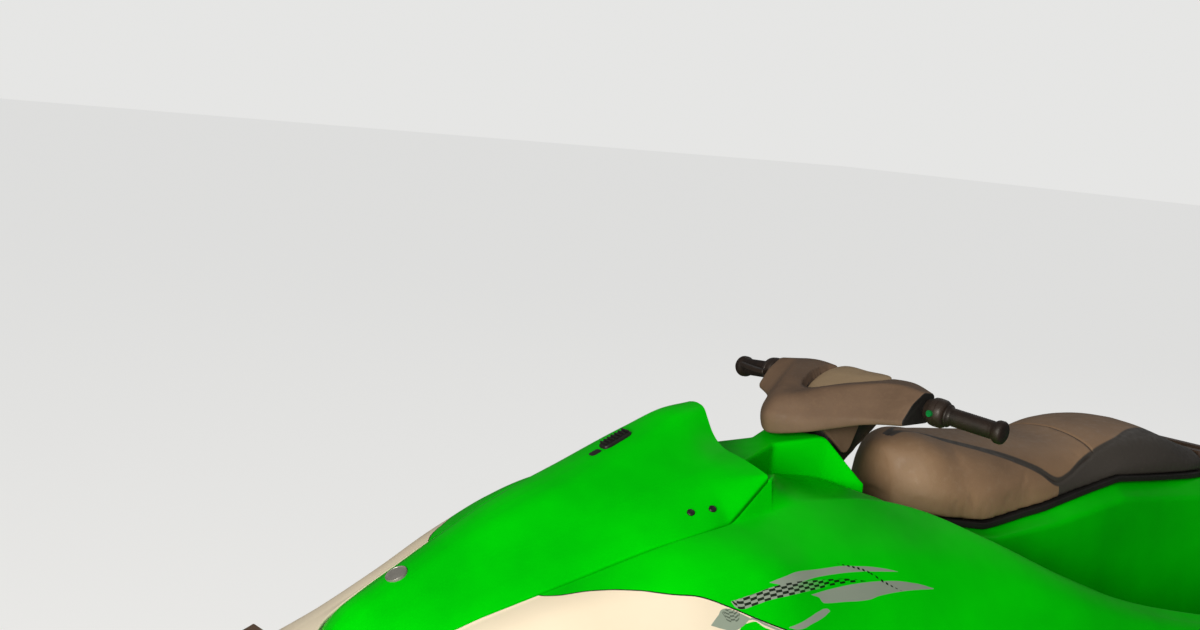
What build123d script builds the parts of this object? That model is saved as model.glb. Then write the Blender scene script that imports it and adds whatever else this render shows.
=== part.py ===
# Sit-down personal watercraft: three-seat bench, jet pump and a storage hood in the bow.
# Millimetres. X runs forward to the bow, Y to port and Z up. The origin is amidships on
# the centreline, at the waterline at which the craft floats.
import math
import os
from collections import namedtuple

from build123d import *

os.makedirs("parts", exist_ok=True)

# Hull and deck. Each station gives half widths (y) and heights (z), from the keel up:
# chine, bond (where deck meets hull), rail (foot of the deck side), shoulder (bulge of
# the deck side), crest (edge of the deck's top), inner (foot of the seat base or of the
# tower) and top. A smooth curve runs through each line of values.
draught = 270
transom_x = -1420
stern_x = -1580
bow_x = 1572
station_step = 100
shoulder_round = 60
flatness = 1e-7
Station = namedtuple(
    "Station",
    "x keel chine_y chine_z bond_y bond_z rail_y rail_z "
    "shoulder_y shoulder_z crest_y crest_z inner_y inner_z top",
)
stations = [
    Station(bow_x, 222, 20, 226, 50, 236, 44, 268, 34, 296, 20, 300, 8, 303, 304),
    Station(1500, 172, 90, 186, 172, 234, 166, 278, 128, 322, 80, 336, 36, 342, 343),
    Station(1420, 100, 150, 140, 278, 232, 268, 276, 212, 362, 140, 366, 60, 364, 363),
    Station(1320, -6, 205, 84, 345, 224, 335, 266, 268, 440, 180, 414, 80, 410, 408),
    Station(1200, -100, 262, 25, 398, 212, 388, 252, 312, 505, 222, 476, 100, 478, 474),
    Station(1050, -196, 320, -30, 446, 200, 436, 240, 356, 540, 250, 531, 120, 532, 530),
    Station(850, -256, 374, -75, 492, 190, 482, 230, 382, 545, 256, 578, 140, 584, 582),
    Station(700, -draught, 398, -90, 510, 186, 500, 226, 388, 540, 250, 600, 232, 612, 600),
    Station(612, -draught, 408, -98, 522, 182, 512, 222, 390, 535, 243, 616, 228, 672, 600),
    Station(520, -draught, 415, -102, 530, 180, 520, 220, 390, 538, 239, 624, 142, 656, 610),
    Station(440, -draught, 421, -106, 537, 179, 527, 219, 388, 540, 238, 624, 75, 634, 624),
    Station(330, -draught, 427, -110, 544, 178, 534, 218, 390, 532, 254, 616, 92, 622, 612),
    Station(250, -draught, 429, -111, 548, 177, 538, 217, 396, 520, 276, 600, 122, 588, 588),
    Station(90, -draught, 431, -112, 553, 175, 543, 215, 418, 478, 338, 540, 140, 526, 526),
    Station(-100, -draught, 432, -112, 556, 173, 546, 213, 455, 420, 404, 456, 166, 508, 508),
    Station(-300, -draught, 432, -112, 558, 172, 548, 212, 482, 364, 446, 386, 168, 536, 536),
    Station(-550, -draught, 432, -112, 556, 170, 546, 210, 500, 322, 472, 336, 166, 591, 591),
    Station(-1000, -draught, 430, -112, 546, 168, 536, 208, 496, 300, 460, 310, 160, 574, 574),
    Station(transom_x, -draught, 418, -108, 518, 167, 508, 205, 466, 280, 430, 290, 150, 556, 556),
    Station(stern_x, -draught, 405, -104, 490, 166, 480, 204, 444, 268, 408, 276, 140, 550, 550),
]

# Footwells with a ramp for the feet, the seat base between them and the boarding platform
sky_z = 1000
floor_z = 178
well_ramp = [(330, 430), (120, floor_z)]
well_outer = [(330, 246), (250, 262), (90, 325), (-200, 418), (-550, 458), (-1120, 446)]
base_half_width = 208
base_end_x = -1120
base_line = [(100, 522), (-100, 502), (-300, 530), (-550, 585), (-1000, 568), (base_end_x, 562)]
platform_z = 200
platform_half_width = 400
platform_lip = 12
platform_ramp_run, platform_ramp_z = 190, 330

# Engine bay, engine, shaft and the tunnel that holds the jet pump
bay_front_x, bay_back_x = -80, -700
bay_half_width = 136
bay_floor_z = -185
bearer_height = 12
bearer_inner_y, bearer_outer_y = 60, 100
engine_length, engine_width, engine_height = 440, 230, 420
engine_back_x = -620
pump_z = -145
tunnel_front_x = -1080
tunnel_half_width = 130
tunnel_top_z = -8
intake_back_x, intake_front_x = -1040, -770
intake_half_width = 62
intake_mouth = 40
shaft_radius = 14
shaft_clearance = 4
grate_bar, grate_count = 8, 4
grate_end = 20
grate_low_z, grate_top_z = -252, -240

# Jet pump
turned_sides = 24
small_sides = 16
pump_bore = 77.5
pump_wall = 13
pump_flange_radius = 100
pump_flange_thickness = 12
pump_length = 230
neck_x, neck_radius = -1370, 48
outlet_radius = 43
outlet_wall = 5
outlet_end_x = -1445
vane_count = 6
vane_thickness = 4
vane_length = 60
hub_radius = 30
hub_tail_radius = 9
hub_tail = 75
blade_count = 4
blade_clearance = 5
blade_thickness = 5
blade_run = 70
blade_turn = 50
impeller_x = -1185
ride_plate_thickness = 8
ride_plate_z = -256
ride_plate_margin = 10

# Steering nozzle and reverse bucket
nozzle_pivot_x = -1440
nozzle_front_radius = 66
nozzle_end_radius = 42
nozzle_wall = 7
nozzle_lead = 25
nozzle_trail = 90
nozzle_lug_reach, nozzle_lug_length, nozzle_lug_thickness = 64, 24, 10
pin_radius = 6
pin_fit = 0.05
bracket_thickness = 8
bracket_gap = 6
bucket_radius = 118
bucket_wall = 6
bucket_half_width = 111
bucket_plate = 5
bucket_start, bucket_sweep, bucket_steps = 32, 84, 7
arm_half_width = 100
arm_thickness = 12
arm_height = 28

# Hood: edge is the lower edge at the gap, crease the soft bend of its side, flank the foot
# of the raised middle and ridge the top. The edge climbs at the rear corner.
hood_wall = 8
hood_gap = 5
hood_skirt = 18
hood_skirt_lean = 4
hood_crown = 3
hood_floor_z = 583
HoodStation = namedtuple(
    "HoodStation", "x edge_y edge_z crease_y crease_z flank_y flank_z ridge_y ridge_z"
)
hood_stations = [
    HoodStation(1425, 20, 358, 14, 364, 10, 365, 6, 366),
    HoodStation(1370, 98, 386, 64, 412, 40, 417, 24, 420),
    HoodStation(1325, 168, 408, 112, 446, 70, 452, 38, 456),
    HoodStation(1230, 206, 464, 152, 505, 100, 515, 50, 524),
    HoodStation(1100, 238, 516, 192, 566, 130, 579, 60, 592),
    HoodStation(930, 249, 562, 216, 620, 140, 640, 64, 656),
    HoodStation(780, 246, 588, 226, 654, 124, 684, 56, 724),
    HoodStation(700, 241, 604, 230, 674, 96, 699, 42, 757),
    HoodStation(622, 236, 666, 233, 684, 72, 707, 26, 773),
]
hinge_x, hinge_z = 1434, 370
hinge_pin_radius = 4
hinge_barrel_radius = 8
hinge_barrel_half = 14
hinge_lug_gap = 1
hinge_lug_width = 10
storage_front_x, storage_back_x = 1180, 740
storage_half_width = 160
storage_floor_z = 260
latch_x, latch_length, latch_width, latch_height, latch_corner = 817, 86, 32, 9, 11
recess_length, recess_width = 34, 24
badge_x, badge_radius, badge_height = 1282, 36, 3
trim_pocket = 4
plug_radius, plug_height = 10, 3
plug_points = [(814, 237, 622), (762, 238, 628)]
plug_normal = (0, 0.949, 0.316)

# Rails and bow bumper round the bond
rail_proud = 14
bumper_back_x = 1396
bumper_low_z, bumper_top_z = 240, 312
bumper_round = 12
bumper_outer = [(bumper_back_x, 325), (1478, 258), (1545, 158), (1585, 76), (1604, 30)]
bumper_nose_x = 1609
bumper_inner = [(bumper_back_x, 205), (1500, 100), (1552, 0)]

# Steering tower with the display ahead of it, column and handlebar
tower_plan = [(566, 0), (566, 88), (430, 35), (325, 80), (254, 130), (254, 0)]
tower_side = [(566, 560), (566, 668), (430, 690), (325, 708), (254, 618), (254, 540)]
tower_well_radius = 94.5
display_side = [(606, 590), (606, 690), (567, 670), (567, 590)]
display_half_width = 58
column_lean = 18
column_point = (262, 0, 660)
column_radius = 18
column_fit = 0.3
column_foot, column_floor, column_head = -100, -14, 116
column_end_gap = 6
bar_radius, bar_fit = 11, 0.5
bar_route = [(148, 387, 773), (188, 210, 791), (240, 100, 766)]
clamp_length, clamp_width, clamp_height = 60, 84, 34
clamp_centre = (232, 0, 766)
grip_radius = 19
grip_flange_radius = 24
grip_flange = 6
grip_length = 127
grip_cap = 4
housing_radius, housing_length = 30, 36
button_radius, button_proud = 7, 4

# Pad over the handlebar: sections of x and z at each half width, from its low front edge
PadStation = namedtuple("PadStation", "y outline")
pad_stations = [
    PadStation(0, [(418, 703), (427, 742), (398, 786), (345, 796), (148, 820), (148, 790)]),
    PadStation(60, [(385, 714), (388, 742), (354, 787), (318, 812), (146, 827), (148, 788)]),
    PadStation(150, [(286, 746), (289, 758), (254, 796), (217, 831), (146, 831), (158, 772)]),
    PadStation(216, [(252, 756), (254, 765), (229, 800), (196, 824), (162, 821), (172, 760)]),
]
fin_side = [(300, 742), (248, 746), (262, 682), (275, 675), (300, 702)]
fin_inner_y, fin_outer_y = 62, 73
channel_half = 14
inset_plan = [(310, 0), (288, 28), (238, 60), (172, 80), (146, 74), (138, 0)]
inset_side = [(312, 772), (312, 783), (134, 830), (134, 813)]
inset_gap = 4
boot_foot, boot_head = -8, 98
boot_foot_radius, boot_head_radius = 52, 76
boot_rake = 22
boot_sides = 16

# Seat
seat_gap = 1
seat_pan_thickness = 14
seat_step = 110
SeatStation = namedtuple("SeatStation", "x foot_y foot_z side_y side_z edge_y edge_z top")
seat_stations = [
    SeatStation(84, 40, 500, 60, 560, 44, 640, 672),
    SeatStation(40, 110, 480, 118, 570, 90, 655, 690),
    SeatStation(-60, 160, 470, 160, 580, 118, 655, 686),
    SeatStation(-250, 174, 480, 168, 590, 126, 648, 676),
    SeatStation(-460, 176, 500, 176, 600, 136, 646, 671),
    SeatStation(-590, 176, 540, 186, 620, 148, 668, 691),
    SeatStation(-740, 174, 560, 186, 624, 150, 670, 692),
    SeatStation(-870, 166, 560, 172, 612, 138, 640, 652),
    SeatStation(-940, 150, 560, 156, 606, 120, 626, 634),
]
grab_x, grab_length, grab_width, grab_thickness = -1008, 90, 290, 28
grab_opening_length, grab_opening_width = 42, 200
grab_low_z, grab_corner = 598, 30
grab_leg_length, grab_leg_width, grab_leg_y = 54, 34, 121

# Glove box in the console behind the steering tower
glove_front_x, glove_back_x = 226, 122
glove_half_width = 70
glove_floor_z = 430
lid_front_x, lid_back_x = 240, 110
lid_half_width = 86
lid_front_z, lid_back_z = 591, 536
lid_thickness = 9
lid_hinge_x, lid_hinge_z = 243, 598
lid_barrel = 5
lid_barrel_half = 30
lid_pin = 2.5
lid_lug_width, lid_lug_gap = 12, 2

# Small fittings
eye_plate = 10
eye_band = 9
bow_eye_radius, stern_eye_radius = 12, 10
bow_eye_x, bow_eye_z, bow_eye_root = 1472, 118, 70
stern_eye_y, stern_eye_z = 300, 60
eye_root = 20
cap_radius, cap_height, cap_sunk = 44, 16, 14
cap_point = (941, 411, 374)
cap_normal = (0.17, 0.945, 0.275)
drain_radius, drain_y, drain_z, drain_proud = 14, 200, -70, 9
sponson_front_x, sponson_back_x, sponson_low_z, sponson_top_z = -900, -1330, -72, -32
sponson_inner_y, sponson_nose_y, sponson_reach, sponson_lead = 400, 462, 500, 90
mat_thickness = 6
mat_margin = 14


def smooth_row(rows, x):
    """The row of a table at any x, on a smooth curve through each column."""
    knots = [row.x for row in rows]
    spans = [b - a for a, b in zip(knots, knots[1:])]
    k = max(i for i in range(len(spans)) if i == 0 or knots[i] >= x)
    share = (x - knots[k]) / spans[k]
    values = []
    for column in list(zip(*rows))[1:]:
        rise = [(b - a) / span for a, b, span in zip(column, column[1:], spans)]
        slopes = [rise[0]]
        for i in range(1, len(spans)):
            weight = spans[i] / (spans[i - 1] + spans[i])
            slopes.append(weight * rise[i - 1] + (1 - weight) * rise[i])
        slopes.append(rise[-1])
        values.append(
            (2 * share**3 - 3 * share**2 + 1) * column[k]
            + (share**3 - 2 * share**2 + share) * spans[k] * slopes[k]
            + (3 * share**2 - 2 * share**3) * column[k + 1]
            + (share**3 - share**2) * spans[k] * slopes[k + 1]
        )
    return type(rows[0])(x, *values)


def filled(rows, step):
    """A table's rows with smooth rows between them, no further apart than a step."""
    result = []
    for ahead, behind in zip(rows, rows[1:]):
        count = math.ceil(abs(ahead.x - behind.x) / step)
        for index in range(count):
            result.append(smooth_row(rows, ahead.x + (behind.x - ahead.x) * index / count))
    return result + [rows[-1]]


def rounded(before, corner, after, radius):
    """Three points round a corner in place of its own."""
    ends = []
    for other in (before, after):
        length = math.dist(corner, other)
        share = min(radius, 0.48 * length) / length
        ends.append([c + share * (o - c) for c, o in zip(corner, other)])
    middle = [(a + 2 * c + b) / 4 for a, c, b in zip(ends[0], corner, ends[1])]
    return [tuple(ends[0]), tuple(middle), tuple(ends[1])]


def mirrored(points):
    """A port half outline, continued round the starboard side."""
    return points + [(-y, z) for y, z in reversed(points) if y > 0]


def both_halves(points):
    """A plan outline of x and port y, continued round the starboard side."""
    return points + [(x, -y) for x, y in reversed(points) if y > 0]


def flat_faces(a, b, c, d):
    """The four-sided patch between four points, as one flat face or two triangles."""
    p, q, r, s = (Vector(*point) for point in (a, b, c, d))
    lift = abs((q - p).cross(r - p).dot(s - p))
    if lift < flatness * (r - p).length * (s - q).length:
        corners = [(p, q, r, s)]
    elif (r - p).length < (s - q).length:
        corners = [(p, q, r), (p, r, s)]
    else:
        corners = [(p, q, s), (q, r, s)]
    return [Face(Wire.make_polygon(points)) for points in corners]


def faceted(sections, closed=False):
    """A solid of flat faces through sections with the same number of points. Closed, the
    last section runs on into the first one; if not, the two have an end face each."""
    follow = sections[1:] + sections[:1] if closed else sections[1:]
    faces = []
    for near, far in zip(sections, follow):
        for k in range(len(near)):
            after = (k + 1) % len(near)
            faces += flat_faces(near[k], near[after], far[after], far[k])
    if not closed:
        faces += [Face(Wire.make_polygon(points)) for points in (sections[0], sections[-1])]
    with BuildPart() as body:
        add(Solid(Shell(faces)))
    return body.part


def lofted(rows, outline):
    """A solid through an outline of y and z at each row's x."""
    return faceted([[(row.x, y, z) for y, z in outline(row)] for row in rows])


def across(sections):
    """A solid through outlines of x and z at several values of y."""
    return faceted([[(x, y, z) for x, z in outline] for y, outline in sections])


def box(x, y, z):
    """A block between two values on each axis."""
    with BuildPart() as block:
        with Locations((min(x), min(y), min(z))):
            Box(
                abs(x[1] - x[0]),
                abs(y[1] - y[0]),
                abs(z[1] - z[0]),
                align=(Align.MIN, Align.MIN, Align.MIN),
            )
    return block.part


def side_profile(points, y_low, y_high):
    """An outline of x and z extruded from one y to another."""
    with BuildPart() as body:
        with BuildSketch(Plane.XZ.offset(-y_high)):
            with BuildLine():
                Polyline(*points, close=True)
            make_face()
        extrude(amount=y_high - y_low)
    return body.part


def plan_profile(points, z_low, z_high):
    """An outline of x and y extruded from one height to another."""
    with BuildPart() as body:
        with BuildSketch(Plane.XY.offset(z_low)):
            with BuildLine():
                Polyline(*points, close=True)
            make_face()
        extrude(amount=z_high - z_low)
    return body.part


def rod(start, end, radius, sides=0):
    """A bar from one point to another, round or with a number of flat sides."""
    start, end = Vector(start), Vector(end)
    with BuildPart() as body:
        with BuildSketch(Plane(origin=start, z_dir=end - start)):
            if sides:
                RegularPolygon(radius, sides)
            else:
                Circle(radius)
        extrude(amount=(end - start).length)
    return body.part


def cross_rod(x, z, y_low, y_high, radius):
    """A round bar across the craft."""
    return rod((x, y_low, z), (x, y_high, z), radius)


def ring(centre, axis, radius, sides):
    """Corners of an even outline about an axis."""
    plane = Plane(origin=centre, x_dir=(0, 1, 0), z_dir=axis)
    turns = [2 * math.pi * (index + 0.5) / sides for index in range(sides)]
    return [
        tuple(plane.from_local_coords(Vector(radius * math.cos(a), radius * math.sin(a), 0)))
        for a in turns
    ]


def turned(points):
    """An outline of x and radius carried round the pump's axis in flat sides."""
    sections = []
    for index in range(turned_sides):
        angle = 2 * math.pi * (index + 0.5) / turned_sides
        across_y, up_z = math.sin(angle), math.cos(angle)
        sections.append([(x, r * across_y, pump_z + r * up_z) for x, r in points])
    return faceted(sections, closed=True)


def write(piece, label):
    """Names a finished piece and writes it."""
    piece.label = label
    export_step(piece, f"parts/{label}.step")


# Outlines of the hull, the deck and the hood at one station
def hull_outline(s):
    return mirrored([(0, s.keel), (s.chine_y, s.chine_z), (s.bond_y, s.bond_z), (0, s.bond_z)])


def deck_outline(s):
    rail, crest = (s.rail_y, s.rail_z), (s.crest_y, s.crest_z)
    return mirrored(
        [
            (0, s.bond_z),
            (s.bond_y, s.bond_z),
            rail,
            *rounded(rail, (s.shoulder_y, s.shoulder_z), crest, shoulder_round),
            crest,
            (s.inner_y, s.inner_z),
            (0, s.top),
        ]
    )


def hood_outline(s):
    return mirrored(
        [
            (0, s.edge_z - hood_skirt),
            (s.edge_y - hood_skirt_lean, s.edge_z - hood_skirt),
            (s.edge_y, s.edge_z),
            (s.crease_y, s.crease_z),
            (s.flank_y, s.flank_z),
            (s.ridge_y, s.ridge_z),
            (0, s.ridge_z + hood_crown),
        ]
    )


def hood_inside_outline(s):
    low = s.edge_z - 2 * hood_skirt
    return mirrored(
        [
            (0, low),
            (s.edge_y - hood_skirt_lean - hood_wall, low),
            (s.edge_y - hood_wall, s.edge_z),
            (s.crease_y - 0.8 * hood_wall, s.crease_z - 0.7 * hood_wall),
            (s.flank_y - 0.3 * hood_wall, s.flank_z - 1.1 * hood_wall),
            (s.ridge_y - 0.6 * hood_wall, s.ridge_z - hood_wall),
            (0, s.ridge_z + hood_crown - hood_wall),
        ]
    )


def hood_recess_outline(s):
    low = s.edge_z - hood_skirt - hood_gap
    floor = min(low, hood_floor_z)
    return mirrored(
        [
            (0, floor),
            (0.9 * s.edge_y, floor),
            (s.edge_y + hood_gap, low),
            (s.edge_y + hood_gap, sky_z),
            (0, sky_z),
        ]
    )


def rail_outline(s):
    return [
        (s.bond_y, s.bond_z),
        (s.bond_y + rail_proud, s.bond_z + 5),
        (s.rail_y + rail_proud, s.rail_z - 3),
        (s.rail_y, s.rail_z),
    ]


def well_plan(side, margin=0):
    """Plan outline of one footwell, drawn in by a margin."""
    outer = [(x, y - margin) for x, y in well_outer]
    outer[0] = (outer[0][0] - margin, outer[0][1])
    outer[-1] = (base_end_x + margin, outer[-1][1])
    inner = base_half_width + margin
    points = outer + [(outer[-1][0], inner), (outer[0][0], inner)]
    return [(x, side * y) for x, y in points]


# Shapes that several pieces are cut with or stand on
bay = box((bay_back_x, bay_front_x), (-bay_half_width, bay_half_width), (bay_floor_z, sky_z))
bow_bumper_inner = [(x, -y) for x, y in bumper_inner] + bumper_inner[-2::-1]


def bumper_plan(z, drawn_in):
    """Plan face of the bumper at one height, its outer side drawn in towards the middle."""
    outer = []
    for x, y in bumper_outer:
        reach = math.dist((x, y), (bumper_back_x, 0))
        share = 1 - drawn_in / reach
        outer.append((bumper_back_x + share * (x - bumper_back_x), share * y))
    port = outer + [(bumper_nose_x - drawn_in, 0)]
    with BuildSketch(Plane.XY.offset(z)) as plan:
        with BuildLine():
            Polyline(*[(x, -y) for x, y in outer], *reversed(port), *bow_bumper_inner[::-1], close=True)
        make_face()
    return plan.sketch


with BuildPart() as bow_bumper:
    add(bumper_plan(bumper_low_z, bumper_round))
    add(bumper_plan(bumper_low_z + bumper_round, 0))
    add(bumper_plan(bumper_top_z - bumper_round, 0))
    add(bumper_plan(bumper_top_z, bumper_round))
    loft(ruled=True)
write(bow_bumper.part, "bow_bumper")


def eye_profile(x, z, radius, root_x):
    """A plate with a round eye, whose root runs into the hull."""
    with BuildPart() as eye:
        with BuildSketch(Plane.XZ):
            with Locations((x, z)):
                RegularPolygon(radius + eye_band, small_sides, major_radius=False)
            with Locations(((x + root_x) / 2, z)):
                Rectangle(abs(root_x - x), 2 * (radius + eye_band))
            with Locations((x, z)):
                Circle(radius, mode=Mode.SUBTRACT)
        extrude(amount=eye_plate / 2, both=True)
    return eye.part


bow_eye = eye_profile(bow_eye_x, bow_eye_z, bow_eye_radius, bow_eye_x - bow_eye_root)
write(bow_eye, "bow_eye")
stern_eye_x = transom_x - stern_eye_radius - eye_band
stern_eye = eye_profile(stern_eye_x, stern_eye_z, stern_eye_radius, transom_x + eye_root)
stern_eyes = [stern_eye.moved(Location((0, side * stern_eye_y, 0))) for side in (1, -1)]
for eye, name in zip(stern_eyes, ("stern_eye_port", "stern_eye_starboard")):
    write(eye, name)

# Hull
engine_floor_z = bay_floor_z + bearer_height
engine_front_x = engine_back_x + engine_length
hull_low_z = -draught - 50
tunnel = box(
    (stern_x, tunnel_front_x), (-tunnel_half_width, tunnel_half_width), (hull_low_z, tunnel_top_z)
)
intake_duct = side_profile(
    [
        (intake_front_x, hull_low_z),
        (intake_front_x, -draught + intake_mouth),
        (tunnel_front_x, pump_z + intake_half_width),
        (tunnel_front_x, pump_z - intake_half_width),
        (intake_back_x, -draught + 0.75 * intake_mouth),
        (intake_back_x, hull_low_z),
    ],
    -intake_half_width,
    intake_half_width,
)
shaft_bore = rod(
    (tunnel_front_x, 0, pump_z), (bay_back_x + 1, 0, pump_z), shaft_radius + shaft_clearance
)
hull_stations = [s for s in filled(stations, station_step) if s.x >= transom_x]
with BuildPart() as hull:
    add(lofted(hull_stations, hull_outline))
    for cut in (bay, tunnel, intake_duct, shaft_bore, bow_eye, *stern_eyes, bow_bumper.part):
        add(cut, mode=Mode.SUBTRACT)
    for side in (-1, 1):
        bearer_y = (side * bearer_inner_y, side * bearer_outer_y)
        add(box((engine_back_x, engine_front_x), bearer_y, (bay_floor_z, engine_floor_z)))
write(hull.part, "hull")


# Deck
def on_column(distance):
    """A point on the steering axis, at a distance along it."""
    lean = math.radians(column_lean)
    return Vector(*column_point) + distance * Vector(-math.sin(lean), 0, math.cos(lean))


column_bore = rod(
    on_column(column_foot - column_end_gap), on_column(column_head), column_radius + column_fit
)
recess_rows = filled(hood_stations, station_step)
recess_rows[0] = recess_rows[0]._replace(x=recess_rows[0].x + hood_gap)
recess_rows[-1] = recess_rows[-1]._replace(x=recess_rows[-1].x - hood_gap)
platform_cut = side_profile(
    [
        (base_end_x, sky_z),
        (base_end_x, platform_ramp_z),
        (base_end_x - platform_ramp_run, platform_z + platform_lip),
        (stern_x - 50, platform_z + platform_lip),
        (stern_x - 50, sky_z),
    ],
    -sky_z,
    sky_z,
)
platform_pocket = box(
    (stern_x - 50, base_end_x), (-platform_half_width, platform_half_width), (platform_z, sky_z)
)
seat_base_cut = side_profile(
    [(base_line[0][0], sky_z), *base_line, (base_line[-1][0], sky_z)],
    -base_half_width,
    base_half_width,
)
cap_seat = Plane(origin=Vector(*cap_point) - cap_sunk * Vector(*cap_normal), z_dir=cap_normal)


def grab_leg(side):
    """One leg of the grab handle, down into the deck."""
    y_centre = side * grab_leg_y
    return box(
        (grab_x - grab_leg_length / 2, grab_x + grab_leg_length / 2),
        (y_centre - grab_leg_width / 2, y_centre + grab_leg_width / 2),
        (base_line[-2][1] - eye_root, grab_low_z + grab_thickness / 2),
    )


with BuildPart() as cap_hole:
    with BuildSketch(cap_seat):
        RegularPolygon(cap_radius, turned_sides)
    extrude(amount=cap_sunk + cap_height)
well_space = side_profile(
    [*well_ramp, (base_end_x, floor_z), (base_end_x, sky_z), (well_ramp[0][0], sky_z)], -sky_z, sky_z
)
with BuildPart() as deck:
    add(lofted(filled(stations, station_step), deck_outline))
    for side in (-1, 1):
        with BuildPart(mode=Mode.PRIVATE) as well:
            add(plan_profile(well_plan(side), floor_z, sky_z))
            add(well_space, mode=Mode.INTERSECT)
        add(well.part, mode=Mode.SUBTRACT)
        add(grab_leg(side), mode=Mode.SUBTRACT)
    for cut in (seat_base_cut, platform_cut, platform_pocket, bay, bow_bumper.part, column_bore):
        add(cut, mode=Mode.SUBTRACT)
    add(lofted(recess_rows, hood_recess_outline), mode=Mode.SUBTRACT)
    add(
        box(
            (glove_back_x, glove_front_x),
            (-glove_half_width, glove_half_width),
            (glove_floor_z, sky_z),
        ),
        mode=Mode.SUBTRACT,
    )
    add(
        box(
            (storage_back_x, storage_front_x),
            (-storage_half_width, storage_half_width),
            (storage_floor_z, sky_z),
        ),
        mode=Mode.SUBTRACT,
    )
    add(cap_hole.part, mode=Mode.SUBTRACT)
write(deck.part, "deck")


# Hood with its hinge, latch, blank disc and the plugs where mirrors would go
def hood_plane(x, depth):
    """A plane that lies along the hood's centreline at x, sunk by a depth."""
    ahead, here, behind = [smooth_row(hood_stations, x + step) for step in (10, 0, -10)]
    slope = math.atan2(behind.ridge_z - ahead.ridge_z, 20)
    normal = Vector(math.sin(slope), 0, math.cos(slope))
    return Plane(
        origin=Vector(x, 0, here.ridge_z + hood_crown) - depth * normal,
        x_dir=(math.cos(slope), 0, -math.sin(slope)),
        z_dir=normal,
    )


with BuildPart() as hood_latch:
    with BuildSketch(hood_plane(latch_x, trim_pocket)) as latch_plan:
        Rectangle(latch_length, latch_width)
        chamfer(latch_plan.vertices(), latch_corner)
    extrude(amount=trim_pocket + latch_height)
write(hood_latch.part, "hood_latch")

with BuildPart() as finger_recess:
    with BuildSketch(hood_plane(latch_x + (latch_length + recess_length) / 2, trim_pocket)):
        Rectangle(recess_length, recess_width)
    extrude(amount=trim_pocket + latch_height)

with BuildPart() as hood_badge:
    with BuildSketch(hood_plane(badge_x, trim_pocket)):
        RegularPolygon(badge_radius, turned_sides)
    extrude(amount=trim_pocket + badge_height)
write(hood_badge.part, "hood_badge")

with BuildPart() as hood_plugs:
    for x, y, z in plug_points:
        for side in (-1, 1):
            normal = Vector(plug_normal[0], side * plug_normal[1], plug_normal[2])
            face = Vector(x, side * y, z)
            outer_end = face + plug_height * normal
            add(rod(face - trim_pocket * normal, outer_end, plug_radius, small_sides))
write(hood_plugs.part, "hood_plugs")

inside_rows = [r for r in filled(hood_stations, station_step) if r.x <= hood_stations[2].x]
inside_rows[-1] = inside_rows[-1]._replace(x=inside_rows[-1].x + hood_wall)
with BuildPart() as hood:
    add(lofted(filled(hood_stations, station_step), hood_outline))
    add(lofted(inside_rows, hood_inside_outline), mode=Mode.SUBTRACT)
    barrel_root = (hood_stations[0].x - 12, hinge_x)
    add(box(barrel_root, (-hinge_barrel_half, hinge_barrel_half), (hinge_z - 5, hinge_z + 5)))
    add(cross_rod(hinge_x, hinge_z, -hinge_barrel_half, hinge_barrel_half, hinge_barrel_radius))
    add(
        cross_rod(
            hinge_x, hinge_z, -hinge_barrel_half, hinge_barrel_half, hinge_pin_radius + pin_fit
        ),
        mode=Mode.SUBTRACT,
    )
    for cut in (hood_latch.part, finger_recess.part, hood_badge.part, hood_plugs.part):
        add(cut, mode=Mode.SUBTRACT)
write(hood.part, "hood")

with BuildPart() as hood_hinge:
    lug_start = hinge_barrel_half + hinge_lug_gap
    lug_end = lug_start + hinge_lug_width
    lug_x = (hinge_x - hinge_barrel_radius, hinge_x + hinge_barrel_radius)
    for side in (-1, 1):
        lug_y = (side * lug_start, side * lug_end)
        add(box(lug_x, lug_y, (hinge_z - 30, hinge_z + hinge_barrel_radius)))
    add(cross_rod(hinge_x, hinge_z, -lug_end, lug_end, hinge_pin_radius))
    add(deck.part, mode=Mode.SUBTRACT)
write(hood_hinge.part, "hood_hinge")

# Rails
rail_rows = [s for s in filled(stations, station_step) if s.x <= stations[2].x]
rail_front = box((bumper_back_x - 2, bow_x), (-sky_z, sky_z), (0, sky_z))
for side, name in ((1, "rail_port"), (-1, "rail_starboard")):
    with BuildPart() as rail:
        add(lofted(rail_rows, lambda s: [(side * y, z) for y, z in rail_outline(s)]))
        add(rail_front, mode=Mode.SUBTRACT)
    write(rail.part, name)

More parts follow.
